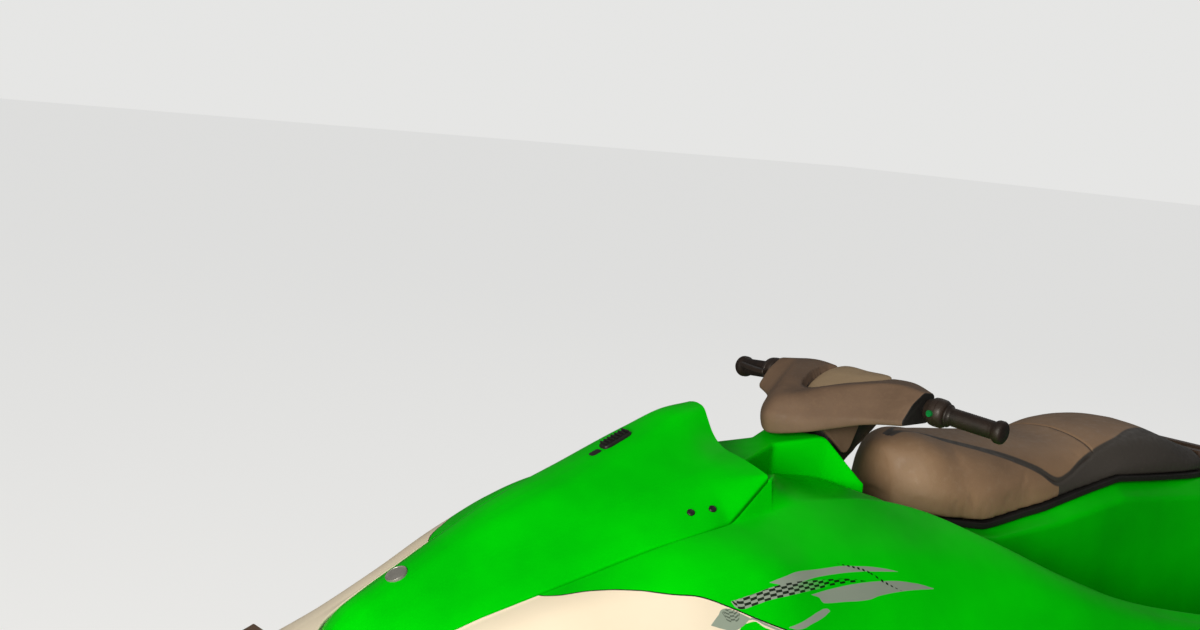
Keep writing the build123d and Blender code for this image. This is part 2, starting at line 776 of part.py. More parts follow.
# Jet pump
pump_back_x = tunnel_front_x - pump_length
pump_outer = pump_bore + pump_wall
hub_back_x = impeller_x - blade_run / 2 - blade_clearance
bracket_z = nozzle_front_radius + nozzle_wall + bracket_gap
with BuildPart() as pump_housing:
    add(
        turned(
            [
                (tunnel_front_x, pump_bore),
                (tunnel_front_x, pump_flange_radius),
                (tunnel_front_x - pump_flange_thickness, pump_flange_radius),
                (tunnel_front_x - pump_flange_thickness, pump_outer),
                (pump_back_x, pump_outer),
                (neck_x, neck_radius),
                (outlet_end_x, outlet_radius),
                (outlet_end_x, outlet_radius - outlet_wall),
                (neck_x, neck_radius - outlet_wall),
                (pump_back_x, pump_bore),
            ]
        )
    )
    hub_profile = [
        (hub_back_x, hub_radius),
        (pump_back_x, hub_radius),
        (pump_back_x - hub_tail, hub_tail_radius),
    ]
    add(faceted([ring((x, 0, pump_z), (1, 0, 0), r, small_sides) for x, r in hub_profile]))
    for index in range(vane_count):
        angle = 2 * math.pi * index / vane_count
        vane_plane = Plane(
            origin=(pump_back_x + 4, 0, pump_z),
            x_dir=(0, math.cos(angle), math.sin(angle)),
            z_dir=(1, 0, 0),
        )
        with BuildSketch(vane_plane):
            with Locations(((hub_radius + pump_bore) / 2, 0)):
                Rectangle(pump_bore - hub_radius + 6, vane_thickness)
        extrude(amount=vane_length)
    for side in (-1, 1):
        arm_y = (side * (arm_half_width - arm_thickness), side * arm_half_width)
        arm_x = (nozzle_pivot_x - arm_height / 2, pump_back_x + 40)
        add(box(arm_x, arm_y, (pump_z - arm_height / 2, pump_z + arm_height / 2)))
        y_low, y_high = sorted((side * arm_half_width, side * (bucket_half_width + bucket_plate)))
        add(cross_rod(nozzle_pivot_x, pump_z, y_low, y_high, pin_radius))
        z_near = pump_z + side * bracket_z
        z_far = z_near + side * bracket_thickness
        add(box((nozzle_pivot_x - 16, pump_back_x + 20), (-16, 16), (z_near, z_far)))
        add(
            rod((nozzle_pivot_x, 0, z_near), (nozzle_pivot_x, 0, z_far), pin_radius + pin_fit),
            mode=Mode.SUBTRACT,
        )
write(pump_housing.part, "pump_housing")

with BuildPart() as impeller:
    hub_front_x = impeller_x + blade_run / 2
    tip_radius = pump_bore - blade_clearance
    hub_start_x = hub_back_x + blade_clearance
    add(rod((hub_start_x, 0, pump_z), (hub_front_x, 0, pump_z), hub_radius, small_sides))
    add(rod((hub_front_x, 0, pump_z), (engine_back_x - 1, 0, pump_z), shaft_radius))
    for index in range(blade_count):
        sections = []
        for step in (-1, 0, 1):
            turn = math.radians(360 * index / blade_count + step * blade_turn / 2)
            sections.append(
                [
                    (
                        impeller_x + step * blade_run / 2,
                        r * math.cos(turn) - t * math.sin(turn),
                        pump_z + r * math.sin(turn) + t * math.cos(turn),
                    )
                    for r, t in (
                        (hub_radius - 8, -blade_thickness / 2),
                        (tip_radius, -blade_thickness / 2),
                        (tip_radius, blade_thickness / 2),
                        (hub_radius - 8, blade_thickness / 2),
                    )
                ]
            )
        add(faceted(sections))
write(impeller.part, "impeller")

nozzle_front_x = nozzle_pivot_x + nozzle_lead
nozzle_back_x = nozzle_pivot_x - nozzle_trail
nozzle_slope = (nozzle_front_radius - nozzle_end_radius) / (nozzle_lead + nozzle_trail)
nozzle_pivot_radius = nozzle_front_radius - nozzle_slope * nozzle_lead
with BuildPart() as steering_nozzle:
    add(
        turned(
            [
                (nozzle_front_x, nozzle_front_radius),
                (nozzle_front_x, nozzle_front_radius + nozzle_wall),
                (nozzle_back_x, nozzle_end_radius + nozzle_wall),
                (nozzle_back_x, nozzle_end_radius),
            ]
        )
    )
    lug_back_x = nozzle_back_x + 18
    add(
        box(
            (lug_back_x, lug_back_x + nozzle_lug_length),
            (nozzle_end_radius + 9, nozzle_lug_reach),
            (pump_z - nozzle_lug_thickness / 2, pump_z + nozzle_lug_thickness / 2),
        )
    )
    for side in (-1, 1):
        root = pump_z + side * (nozzle_pivot_radius + 2)
        tip = pump_z + side * (bracket_z + bracket_thickness)
        add(rod((nozzle_pivot_x, 0, root), (nozzle_pivot_x, 0, tip), pin_radius))
write(steering_nozzle.part, "steering_nozzle")


def bucket_point(radius, turn):
    """A point at an angle up from straight aft of the bucket's hinge."""
    angle = math.radians(turn)
    return (nozzle_pivot_x - radius * math.cos(angle), pump_z + radius * math.sin(angle))


bucket_outer = bucket_radius + bucket_wall
bucket_turns = [bucket_start + bucket_sweep * k / bucket_steps for k in range(bucket_steps + 1)]
bucket_outside = [bucket_point(bucket_outer, turn) for turn in bucket_turns]
bucket_inside = [bucket_point(bucket_radius, turn) for turn in reversed(bucket_turns)]
bucket_ears = [bucket_point(3 * pin_radius, turn) for turn in (150, 210, 270, 330)]
with BuildPart() as reverse_bucket:
    add(side_profile(bucket_outside + bucket_inside, -bucket_half_width, bucket_half_width))
    for plate_low in (-bucket_half_width - bucket_plate, bucket_half_width):
        plate_high = plate_low + bucket_plate
        add(side_profile(bucket_outside + bucket_ears, plate_low, plate_high))
        pin_hole = cross_rod(nozzle_pivot_x, pump_z, plate_low, plate_high, pin_radius + pin_fit)
        add(pin_hole, mode=Mode.SUBTRACT)
write(reverse_bucket.part, "reverse_bucket")

write(
    box(
        (transom_x - ride_plate_margin, tunnel_front_x - ride_plate_margin),
        (-tunnel_half_width, tunnel_half_width),
        (ride_plate_z, ride_plate_z + ride_plate_thickness),
    ),
    "ride_plate",
)

with BuildPart() as intake_grate:
    for x in (intake_back_x, intake_front_x - grate_end):
        grate_width = (-intake_half_width, intake_half_width)
        add(box((x, x + grate_end), grate_width, (grate_low_z, grate_top_z)))
    for index in range(grate_count):
        y = intake_half_width * (2 * (index + 0.5) / grate_count - 1)
        bar_y = (y - grate_bar / 2, y + grate_bar / 2)
        add(box((intake_back_x, intake_front_x), bar_y, (grate_low_z, grate_top_z)))
write(intake_grate.part, "intake_grate")

write(
    box(
        (engine_back_x, engine_front_x),
        (-engine_width / 2, engine_width / 2),
        (engine_floor_z, engine_floor_z + engine_height),
    ),
    "engine_block",
)

# Sponsons, drain plugs, fuel cap, mats and grab handle
for side, name in ((1, "sponson_port"), (-1, "sponson_starboard")):
    plan = [
        (sponson_front_x, sponson_inner_y),
        (sponson_front_x, sponson_nose_y),
        (sponson_front_x - sponson_lead, sponson_reach),
        (sponson_back_x, sponson_reach),
        (sponson_back_x, sponson_inner_y),
    ]
    with BuildPart() as sponson:
        add(plan_profile([(x, side * y) for x, y in plan], sponson_low_z, sponson_top_z))
        add(hull.part, mode=Mode.SUBTRACT)
    write(sponson.part, name)

with BuildPart() as drain_plugs:
    for y in (-drain_y, drain_y):
        plug_end = (transom_x - drain_proud, y, drain_z)
        add(rod((transom_x, y, drain_z), plug_end, drain_radius, small_sides))
write(drain_plugs.part, "drain_plugs")

with BuildPart() as fuel_cap:
    with BuildSketch(cap_seat):
        RegularPolygon(cap_radius, turned_sides)
    extrude(amount=cap_sunk + 0.6 * cap_height)
    with BuildSketch(cap_seat.offset(cap_sunk + 0.6 * cap_height)):
        Rectangle(1.5 * cap_radius, 0.4 * cap_radius)
    extrude(amount=0.4 * cap_height)
write(fuel_cap.part, "fuel_cap")

for side, name in ((1, "mat_port"), (-1, "mat_starboard")):
    with BuildPart() as mat:
        add(plan_profile(well_plan(side, mat_margin), floor_z, floor_z + mat_thickness))
        add(box((well_ramp[1][0] - mat_margin, sky_z), (-sky_z, sky_z), (0, sky_z)), mode=Mode.SUBTRACT)
    write(mat.part, name)

platform_mat_x = (stern_x + 20, base_end_x - mat_margin)
write(
    box(
        platform_mat_x,
        (mat_margin + 6 - platform_half_width, platform_half_width - mat_margin - 6),
        (platform_z, platform_z + mat_thickness),
    ),
    "platform_mat",
)

with BuildPart() as grab_handle:
    with BuildSketch(Plane.XY.offset(grab_low_z)):
        with Locations((grab_x, 0)):
            Rectangle(grab_length, grab_width)
            Rectangle(grab_opening_length, grab_opening_width, mode=Mode.SUBTRACT)
    extrude(amount=grab_thickness)
    corners = grab_handle.edges().filter_by(Axis.Z)
    chamfer(corners.sort_by(lambda edge: abs(edge.center().Y))[-4:], grab_corner)
    for side in (-1, 1):
        add(grab_leg(side))
write(grab_handle.part, "grab_handle")

# Steering tower, display and glove lid
with BuildPart() as steering_tower:
    add(side_profile(tower_side, -sky_z, sky_z))
    add(plan_profile(both_halves(tower_plan), 0, sky_z), mode=Mode.INTERSECT)
    add(
        rod(on_column(column_floor), on_column(column_head), tower_well_radius, turned_sides),
        mode=Mode.SUBTRACT,
    )
    add(column_bore, mode=Mode.SUBTRACT)
    add(deck.part, mode=Mode.SUBTRACT)
write(steering_tower.part, "steering_tower")

with BuildPart() as display:
    add(side_profile(display_side, -display_half_width, display_half_width))
    add(deck.part, mode=Mode.SUBTRACT)
write(display.part, "display")

lid_lug_start = lid_barrel_half + lid_lug_gap
lid_lug_end = lid_lug_start + lid_lug_width
with BuildPart() as glove_lid:
    add(
        side_profile(
            [
                (lid_back_x, lid_back_z),
                (lid_front_x, lid_front_z),
                (lid_front_x, lid_front_z + lid_thickness),
                (lid_back_x, lid_back_z + lid_thickness),
            ],
            -lid_half_width,
            lid_half_width,
        )
    )
    add(cross_rod(lid_hinge_x, lid_hinge_z, -lid_barrel_half, lid_barrel_half, lid_barrel))
    add(
        cross_rod(lid_hinge_x, lid_hinge_z, -lid_barrel_half, lid_barrel_half, lid_pin + pin_fit),
        mode=Mode.SUBTRACT,
    )
    for side in (-1, 1):
        lug_clear = (side * lid_barrel_half, side * (lid_lug_end + lid_lug_gap))
        lid_notch = (lid_hinge_x - lid_barrel - 2 * lid_lug_gap, lid_hinge_x + lid_barrel)
        add(box(lid_notch, lug_clear, (0, sky_z)), mode=Mode.SUBTRACT)
write(glove_lid.part, "glove_lid")

with BuildPart() as glove_hinge:
    add(cross_rod(lid_hinge_x, lid_hinge_z, -lid_lug_end, lid_lug_end, lid_pin))
    for side in (-1, 1):
        lug_y = sorted((side * lid_lug_start, side * lid_lug_end))
        lug_x = (lid_hinge_x - lid_barrel, lid_hinge_x + lid_barrel)
        add(box(lug_x, lug_y, (lid_hinge_z - 60, lid_hinge_z + lid_barrel)))
    add(deck.part, mode=Mode.SUBTRACT)
write(glove_hinge.part, "glove_hinge")

# Steering: column with clamp, bar, grips, switches, throttle, pad, inset and boot
clamp = box(
    (clamp_centre[0] - clamp_length / 2, clamp_centre[0] + clamp_length / 2),
    (-clamp_width / 2, clamp_width / 2),
    (clamp_centre[2] - clamp_height / 2, clamp_centre[2] + clamp_height / 2),
)
with BuildPart() as handlebar:
    add(rod(on_column(column_foot), on_column(column_head), column_radius))
    add(clamp)
    with BuildLine() as bar_line:
        Polyline(*bar_route, *[(x, -y, z) for x, y, z in reversed(bar_route)])
    bar_start = Vector(*bar_route[0])
    with BuildSketch(Plane(origin=bar_start, z_dir=Vector(*bar_route[1]) - bar_start)):
        RegularPolygon(bar_radius, small_sides)
    sweep(transition=Transition.RIGHT)
write(handlebar.part, "handlebar")


def sleeve(start, end, outer_radius, inner_radius):
    """A sleeve between two points."""
    with BuildPart() as body:
        add(rod(start, end, outer_radius, small_sides))
        add(rod(start, end, inner_radius, small_sides), mode=Mode.SUBTRACT)
    return body.part


bar_out = (Vector(*bar_route[0]) - Vector(*bar_route[1])).normalized()
for side, label in ((1, "port"), (-1, "starboard")):
    direction = Vector(bar_out.X, side * bar_out.Y, bar_out.Z)
    bar_end = Vector(bar_route[0][0], side * bar_route[0][1], bar_route[0][2])
    grip_end = bar_end + grip_cap * direction
    grip_start = bar_end - grip_length * direction
    with BuildPart() as grip:
        add(rod(grip_start, grip_end, grip_radius, small_sides))
        inner_flange_end = grip_start + grip_flange * direction
        add(rod(grip_start, inner_flange_end, grip_flange_radius, small_sides))
        outer_flange_start = grip_end - 2 * grip_flange * direction
        add(rod(outer_flange_start, grip_end, grip_flange_radius, small_sides))
        add(rod(grip_start, bar_end, bar_radius + bar_fit), mode=Mode.SUBTRACT)
    write(grip.part, f"grip_{label}")
    housing_start = grip_start - housing_length * direction
    middle = (grip_start + housing_start) * 0.5
    housing = sleeve(housing_start, grip_start, housing_radius, bar_radius + bar_fit)
    if side > 0:
        face = middle + Vector(housing_radius, 0, 0)
        with BuildPart() as start_button:
            proud = Vector(button_proud, 0, 0)
            add(rod(face - proud, face + proud, button_radius, small_sides))
            add(housing, mode=Mode.SUBTRACT)
        write(start_button.part, "start_button")
        write(housing, "switch_housing")
    else:
        root = middle + Vector(housing_radius - 4, 0, 0)
        lever_plan = [
            (root.X, root.Y + 10),
            (root.X + 22, root.Y + 10),
            (root.X - 4, root.Y - 96),
            (root.X - 14, root.Y - 96),
            (root.X + 6, root.Y - 8),
            (root.X, root.Y - 8),
        ]
        with BuildPart() as throttle_lever:
            add(plan_profile(lever_plan, root.Z - 5, root.Z + 5))
            add(housing, mode=Mode.SUBTRACT)
        write(throttle_lever.part, "throttle_lever")
        write(housing, "throttle_housing")


def square(x, z):
    """Outline of the channel that the bar runs in."""
    reach = channel_half
    return [(x - reach, z - reach), (x + reach, z - reach), (x + reach, z + reach), (x - reach, z + reach)]


pad_sections = [(-s.y, s.outline) for s in reversed(pad_stations[1:])]
pad_sections += [(s.y, s.outline) for s in pad_stations]
bar_sections = [(y, square(x, z)) for x, y, z in bar_route]
bar_sections = [(-y, outline) for y, outline in bar_sections] + bar_sections[::-1]
(front_x, front_z), (back_x, back_z) = inset_side[0], inset_side[-1]
floor_slope = (back_z - front_z) / (back_x - front_x)
inset_ends = [(x, front_z + floor_slope * (x - front_x)) for x in (front_x + 9, back_x - 9)]
inset_space = [*inset_ends, (back_x - 9, sky_z), (front_x + 9, sky_z)]
inset_wide = [(x + (inset_gap if x > 200 else 0), y + (inset_gap if y else 0)) for x, y in inset_plan]
with BuildPart() as inset_pocket:
    add(side_profile(inset_space, -sky_z, sky_z))
    add(plan_profile(both_halves(inset_wide), 0, sky_z), mode=Mode.INTERSECT)
with BuildPart() as handlebar_pad:
    add(across(pad_sections))
    add(side_profile(fin_side, fin_inner_y, fin_outer_y))
    add(side_profile(fin_side, -fin_outer_y, -fin_inner_y))
    add(inset_pocket.part, mode=Mode.SUBTRACT)
    add(across(bar_sections), mode=Mode.SUBTRACT)
    add(clamp, mode=Mode.SUBTRACT)
    add(rod(on_column(0), on_column(column_head), column_radius + column_fit), mode=Mode.SUBTRACT)
write(handlebar_pad.part, "handlebar_pad")

with BuildPart() as pad_insert:
    add(side_profile(inset_side, -sky_z, sky_z))
    add(plan_profile(both_halves(inset_plan), 0, sky_z), mode=Mode.INTERSECT)
    add(across(bar_sections), mode=Mode.SUBTRACT)
    add(clamp, mode=Mode.SUBTRACT)
write(pad_insert.part, "pad_insert")

column_axis = on_column(1) - on_column(0)
boot_top = on_column(boot_head) - Vector(boot_rake, 0, 0)
boot_rings = [
    ring(on_column(boot_foot), column_axis, boot_foot_radius, boot_sides),
    ring(boot_top, column_axis, boot_head_radius, boot_sides),
]
with BuildPart() as column_boot:
    add(faceted(boot_rings))
    add(handlebar_pad.part, mode=Mode.SUBTRACT)
    add(rod(on_column(boot_foot - 2), on_column(column_head), column_radius), mode=Mode.SUBTRACT)
    add(clamp, mode=Mode.SUBTRACT)
    add(across(bar_sections), mode=Mode.SUBTRACT)
    add(inset_pocket.part, mode=Mode.SUBTRACT)
write(column_boot.part, "column_boot")


# Seat: pan and cushion on the seat base
def seat_outline(s):
    return mirrored(
        [
            (0, s.foot_z - 20),
            (s.foot_y, s.foot_z - 20),
            (s.side_y, s.side_z),
            (s.edge_y, s.edge_z),
            (0.5 * s.edge_y, s.top - 4),
            (0, s.top),
        ]
    )


def above_base(low, high):
    """The space between two heights over the seat base, as wide as the craft."""
    points = [(x, z + low) for x, z in base_line]
    points += [(x, z + high) for x, z in reversed(base_line)]
    return side_profile(points, -sky_z, sky_z)


pan_top = seat_gap + seat_pan_thickness
seat_blank = lofted(filled(seat_stations, seat_step), seat_outline)
with BuildPart() as seat_pan:
    add(seat_blank)
    add(above_base(seat_gap, pan_top), mode=Mode.INTERSECT)
write(seat_pan.part, "seat_pan")
with BuildPart() as seat_cushion:
    add(seat_blank)
    add(above_base(pan_top, sky_z), mode=Mode.INTERSECT)
write(seat_cushion.part, "seat_cushion")
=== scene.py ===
import math

import bmesh
import bpy
import numpy as np
from mathutils import Matrix, Vector


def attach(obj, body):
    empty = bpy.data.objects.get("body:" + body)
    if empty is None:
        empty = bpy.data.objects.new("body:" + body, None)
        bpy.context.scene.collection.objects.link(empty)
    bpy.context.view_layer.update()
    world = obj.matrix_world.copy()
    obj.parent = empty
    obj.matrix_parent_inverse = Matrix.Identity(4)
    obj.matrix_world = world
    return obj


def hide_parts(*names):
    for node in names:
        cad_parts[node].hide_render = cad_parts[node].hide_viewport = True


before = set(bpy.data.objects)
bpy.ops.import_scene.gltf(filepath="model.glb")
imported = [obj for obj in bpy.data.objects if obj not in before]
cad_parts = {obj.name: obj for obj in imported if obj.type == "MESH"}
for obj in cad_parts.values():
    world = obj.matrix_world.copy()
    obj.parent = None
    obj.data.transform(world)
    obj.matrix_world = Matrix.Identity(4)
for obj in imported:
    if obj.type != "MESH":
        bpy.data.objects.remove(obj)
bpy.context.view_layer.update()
scene = bpy.context.scene
scene.view_settings.view_transform = "Standard"
mm = 0.001
print("frame loaded")


# camera, floor and light
view = {
    "position": (2.783, 2.484, 1.317),
    "lookAt": (0.851, -0.039, 0.944),
    "roll": 5.33,  # degrees
    "lens": 50.13,  # mm on a 36 mm sensor
}
light = {
    "key": {"azimuth": 28, "height": 17, "distance": 6, "size": 2.2, "power": 350, "tint": (1, 0.93, 0.82)},
    "fill": {"azimuth": 80, "height": 60, "distance": 7, "size": 5.0, "power": 18, "tint": (0.9, 0.95, 1)},
    "back": {"azimuth": 200, "height": 45, "distance": 6, "size": 4.0, "power": 25, "tint": (1, 0.97, 0.92)},
    "sky": 0.15,
    "backdrop": (0.79, 0.79, 0.78),
    "floor": {"half": 60, "tone": (0.25, 0.25, 0.247), "rough": 0.8, "glow": 0.86},
}


def rectangle(a, b):
    return [(-a, -b), (a, -b), (a, b), (-a, b)]


def addObject(name, data):
    piece = bpy.data.objects.new(name, data)
    scene.collection.objects.link(piece)
    return piece


def feed(tree, socket, value):
    # links an output to the socket, or sets its value
    if isinstance(value, bpy.types.NodeSocket):
        tree.links.new(value, socket)
    else:
        socket.default_value = value


def addNode(tree, kind, **inputs):
    # a shader node with its named inputs fed, where _ stands for a space
    node = tree.nodes.new("ShaderNode" + kind)
    for name, value in inputs.items():
        feed(tree, node.inputs[name.replace("_", " ")], value)
    return node


def makeCamera(spec):
    data = bpy.data.cameras.new("camera")
    data.sensor_fit = "HORIZONTAL"
    data.sensor_width = 36
    data.lens = spec["lens"]
    camera = addObject("camera", data)
    place = Vector(spec["position"])
    aim = (Vector(spec["lookAt"]) - place).to_track_quat("-Z", "Y")
    roll = Matrix.Rotation(math.radians(spec["roll"]), 4, "Z")
    camera.matrix_world = Matrix.Translation(place) @ aim.to_matrix().to_4x4() @ roll
    scene.camera = camera


def makeLamp(name, spec):
    data = bpy.data.lights.new(name, "AREA")
    data.size = spec["size"]
    data.energy = spec["power"]
    data.color = spec["tint"]
    lamp = addObject(name, data)
    around, up = math.radians(spec["azimuth"]), math.radians(spec["height"])
    away = Vector((math.cos(around) * math.cos(up), math.sin(around) * math.cos(up), math.sin(up)))
    lamp.location = away * spec["distance"]
    lamp.rotation_euler = (-away).to_track_quat("-Z", "Y").to_euler()


def cameraMix(tree, seen, other, out):
    # one shader where the camera sees the surface and another for the light that bounces off it
    mix = addNode(tree, "MixShader")
    isSeen = addNode(tree, "LightPath").outputs["Is Camera Ray"]
    for socket, value in zip(mix.inputs, (isSeen, other, seen)):
        feed(tree, socket, value)
    feed(tree, out, mix.outputs[0])


def makeWorld(spec):
    world = bpy.data.worlds.new("studio")
    scene.world = world
    world.use_nodes = True
    tree = world.node_tree
    tree.nodes.clear()
    seen = addNode(tree, "Background", Color=(*spec["backdrop"], 1))
    other = addNode(tree, "Background", Color=(1, 1, 1, 1), Strength=spec["sky"])
    cameraMix(tree, seen.outputs[0], other.outputs[0], addNode(tree, "OutputWorld").inputs[0])


def newMaterial(name):
    material = bpy.data.materials.new(name)
    material.use_nodes = True
    return material, material.node_tree, material.node_tree.nodes["Principled BSDF"]


def makeFloor(spec):
    # a wide pale plane at z = 0, which adds most of the backdrop's tone where the camera sees it
    floor = spec["floor"]
    mesh = bpy.data.meshes.new("waterFloor")
    corners = [(x, y, 0) for x, y in rectangle(floor["half"], floor["half"])]
    mesh.from_pydata(corners, [], [(0, 1, 2, 3)])
    material, tree, shader = newMaterial("floorTone")
    shader.inputs["Base Color"].default_value = (*floor["tone"], 1)
    shader.inputs["Roughness"].default_value = floor["rough"]
    glow = addNode(tree, "Emission", Color=(*[floor["glow"] * tone for tone in spec["backdrop"]], 1))
    both = addNode(tree, "AddShader")
    feed(tree, both.inputs[0], shader.outputs[0])
    feed(tree, both.inputs[1], glow.outputs[0])
    cameraMix(tree, both.outputs[0], shader.outputs[0], tree.nodes["Material Output"].inputs[0])
    mesh.materials.append(material)
    addObject("waterFloor", mesh)


makeCamera(view)
for lampName in ("key", "fill", "back"):
    makeLamp(lampName, light[lampName])
makeWorld(light)
makeFloor(light)
print("camera and lights set")


# materials
def linear(red, green, blue):
    # screen values from 0 to 255 as linear light
    share = np.array([red, green, blue]) / 255
    return tuple(np.where(share < 0.04045, share / 12.92, ((share + 0.055) / 1.055) ** 2.4))


cream = linear(232, 222, 202)
creamShade = linear(222, 210, 188)
silver = linear(138, 152, 140)
checkDark = linear(10, 24, 12)
finishes = {
    # tone and second tone on screen, their patches per metre, roughness low and high, kind of
    # grain, grains per metre, their depth in mm, and what only some have
    "hullBlack": ((16, 16, 18), (28, 28, 31), 5, (0.1, 0.24), "noise", 60, 0.05, {"coat": 0.6}),
    "greenCoat": ((0, 216, 4), (0, 176, 6), 3, (0.34, 0.46), "noise", 420, 0.012,
                  {"shine": 0.05, "tint": (0.2, 1, 0.2)}),
    "railGreen": ((0, 150, 20), (0, 120, 20), 14, (0.35, 0.6), "noise", 300, 0.06),
    "padFoam": ((112, 90, 72), (98, 78, 62), 12, (0.62, 0.85), "voronoi", 900, 0.12,
                {"dust": (132, 110, 90)}),
    "insetFoam": ((166, 143, 112), (148, 127, 100), 16, (0.6, 0.85), "voronoi", 700, 0.15,
                  {"dust": (176, 155, 126)}),
    "seatVinyl": ((150, 121, 94), (132, 106, 82), 7, (0.5, 0.72), "voronoi", 420, 0.25,
                  {"dust": (160, 138, 116)}),
    "gripRubber": ((38, 27, 21), (26, 19, 15), 30, (0.4, 0.65), "noise", 900, 0.08),
    "softBlack": ((27, 25, 24), (18, 17, 16), 14, (0.5, 0.75), "noise", 700, 0.1),
    "hardBlack": ((30, 29, 29), (20, 19, 19), 10, (0.32, 0.55), "voronoi", 1200, 0.06),
    "brownBlack": ((46, 36, 30), (34, 26, 22), 18, (0.35, 0.6), "voronoi", 1100, 0.08),
    "brownPlastic": ((84, 66, 54), (68, 53, 44), 12, (0.4, 0.6), "voronoi", 900, 0.08),
    "matFoam": ((86, 84, 80), (68, 66, 63), 9, (0.75, 0.95), "ribs", 85, 1.4, {"dust": (112, 108, 100)}),
    "steel": ((190, 190, 188), (160, 160, 158), 40, (0.18, 0.38), "brushed", 900, 0.02, {"metal": 1.0}),
    "alloy": ((120, 122, 126), (98, 100, 104), 14, (0.38, 0.62), "noise", 500, 0.12, {"metal": 0.7}),
    "castGrey": ((74, 77, 82), (58, 60, 64), 16, (0.5, 0.75), "noise", 260, 0.3),
    "discGrey": ((150, 150, 146), (126, 126, 123), 40, (0.25, 0.45), "brushed", 700, 0.03, {"metal": 0.4}),
    "buttonGreen": ((10, 130, 60), (8, 104, 48), 80, (0.25, 0.4), "noise", 900, 0.03),
    "screenGlass": ((12, 16, 18), (20, 25, 27), 20, (0.04, 0.12), "noise", 200, 0.01, {"coat": 0.8}),
}


def rampBetween(tree, source, low, high, start, end):
    # low to high where the source goes from start to end
    ramp = addNode(tree, "MapRange", Value=source, From_Min=start, From_Max=end, To_Min=low, To_Max=high)
    return ramp.outputs["Result"]


def noiseAt(tree, place, scale, detail=4.0):
    return addNode(tree, "TexNoise", Vector=place, Scale=scale, Detail=detail).outputs["Fac"]


def mixTone(tree, share, first, second):
    mix = addNode(tree, "Mix")
    mix.data_type = "RGBA"
    feed(tree, mix.inputs["Factor"], share)
    for socket, value in zip(mix.inputs[6:8], (first, second)):
        feed(tree, socket, (*map(float, value), 1) if isinstance(value, tuple) else value)
    return mix.outputs[2]


def makeMaterial(name, finish, paint=None):
    # tone patches, dust in the hollows of a second noise, uneven gloss and a fine grain
    tone, other, patch, (low, high), grain, size, depth, *extra = finishes[finish]
    extra = extra[0] if extra else {}
    material, tree, shader = newMaterial(name)
    coords = addNode(tree, "TexCoord").outputs["Object"]
    place = addNode(tree, "Mapping", Vector=coords, Location=(0.37, 0.11, 0.23)).outputs["Vector"]
    fine = noiseAt(tree, place, patch * 9, 6.0)
    patches = rampBetween(tree, noiseAt(tree, place, patch), 0, 1, 0.3, 0.7)
    tone = mixTone(tree, patches, linear(*tone), linear(*other))
    if "dust" in extra:
        settled = rampBetween(tree, fine, 0, 0.25, 0.5, 0.78)
        tone = mixTone(tree, settled, tone, linear(*extra["dust"]))
    if paint:
        tone = paint(tree, tone, patches)
    if grain == "voronoi":
        height = addNode(tree, "TexVoronoi", Vector=place, Scale=size).outputs["Distance"]
    elif grain == "ribs":
        ribs = addNode(tree, "TexWave", Vector=place, Scale=size / 6.283, Distortion=0)
        ribs.bands_direction = "Y"
        height = ribs.outputs["Fac"]
    elif grain == "brushed":
        drawn = addNode(tree, "Mapping", Vector=place, Scale=(0.06, 1, 1)).outputs["Vector"]
        height = noiseAt(tree, drawn, size, 2.0)
    else:
        height = noiseAt(tree, place, size, 3.0)
    bump = addNode(tree, "Bump", Strength=0.7, Distance=depth * mm, Height=height)
    looks = {
        "Base Color": tone,
        "Roughness": rampBetween(tree, fine, low, high, 0.3, 0.7),
        "Normal": bump.outputs["Normal"],
        "Metallic": extra.get("metal", 0),
        "Specular IOR Level": extra.get("shine", 0.4),
        "Specular Tint": (*extra.get("tint", (1, 1, 1)), 1),
    }
    if "coat" in extra:
        looks.update({"Coat Weight": extra["coat"], "Coat Roughness": 0.06})
    for socket, value in looks.items():
        feed(tree, shader.inputs[socket], value)
    return material


def maths(tree, kind, *values):
    step = addNode(tree, "Math")
    step.operation = kind
    for socket, value in zip(step.inputs, values):
        feed(tree, socket, value)
    return step.outputs[0]


def curveAt(tree, x, points):
    # the value of a smooth line through points of x and value, held level past both ends
    xs, values = np.array(sorted(points), float).T
    low, span = values.min(), np.ptp(values)
    curve = addNode(tree, "FloatCurve")
    line = curve.mapping.curves[0]
    places = np.column_stack([(xs - xs[0]) / (xs[-1] - xs[0]), (values - low) / span])
    line.points[0].location, line.points[1].location = places[0], places[-1]
    for place in places[1:-1]:
        line.points.new(*place)
    for point in line.points:
        point.handle_type = "AUTO_CLAMPED"
    curve.mapping.update()
    feed(tree, curve.inputs["Value"], rampBetween(tree, x, 0, 1, xs[0], xs[-1]))
    return rampBetween(tree, curve.outputs[0], low, low + span, 0, 1)


def bandShare(tree, x, v, upper, lower):
    # 1 between two lines over x, and nothing past their ends
    under = maths(tree, "SUBTRACT", curveAt(tree, x, upper), v)
    over = maths(tree, "SUBTRACT", v, curveAt(tree, x, lower))
    start, end = min(upper)[0], max(upper)[0]
    past = maths(tree, "MINIMUM", maths(tree, "SUBTRACT", x, start), maths(tree, "SUBTRACT", end, x))
    inside = maths(tree, "MINIMUM", maths(tree, "MINIMUM", under, over), past)
    return rampBetween(tree, inside, 0, 1, 0, 0.8)


def checksAt(tree, x, v, cell):
    place = addNode(tree, "CombineXYZ", Z=0.5)
    for socket, value, width in zip(place.inputs, (x, v), cell):
        feed(tree, socket, maths(tree, "DIVIDE", value, width))
    return addNode(tree, "TexChecker", Vector=place.outputs[0], Scale=1).outputs["Fac"]


def fieldOf(tree, name):
    # the piece's own attribute
    field = addNode(tree, "Attribute")
    field.attribute_name = name
    return field.outputs


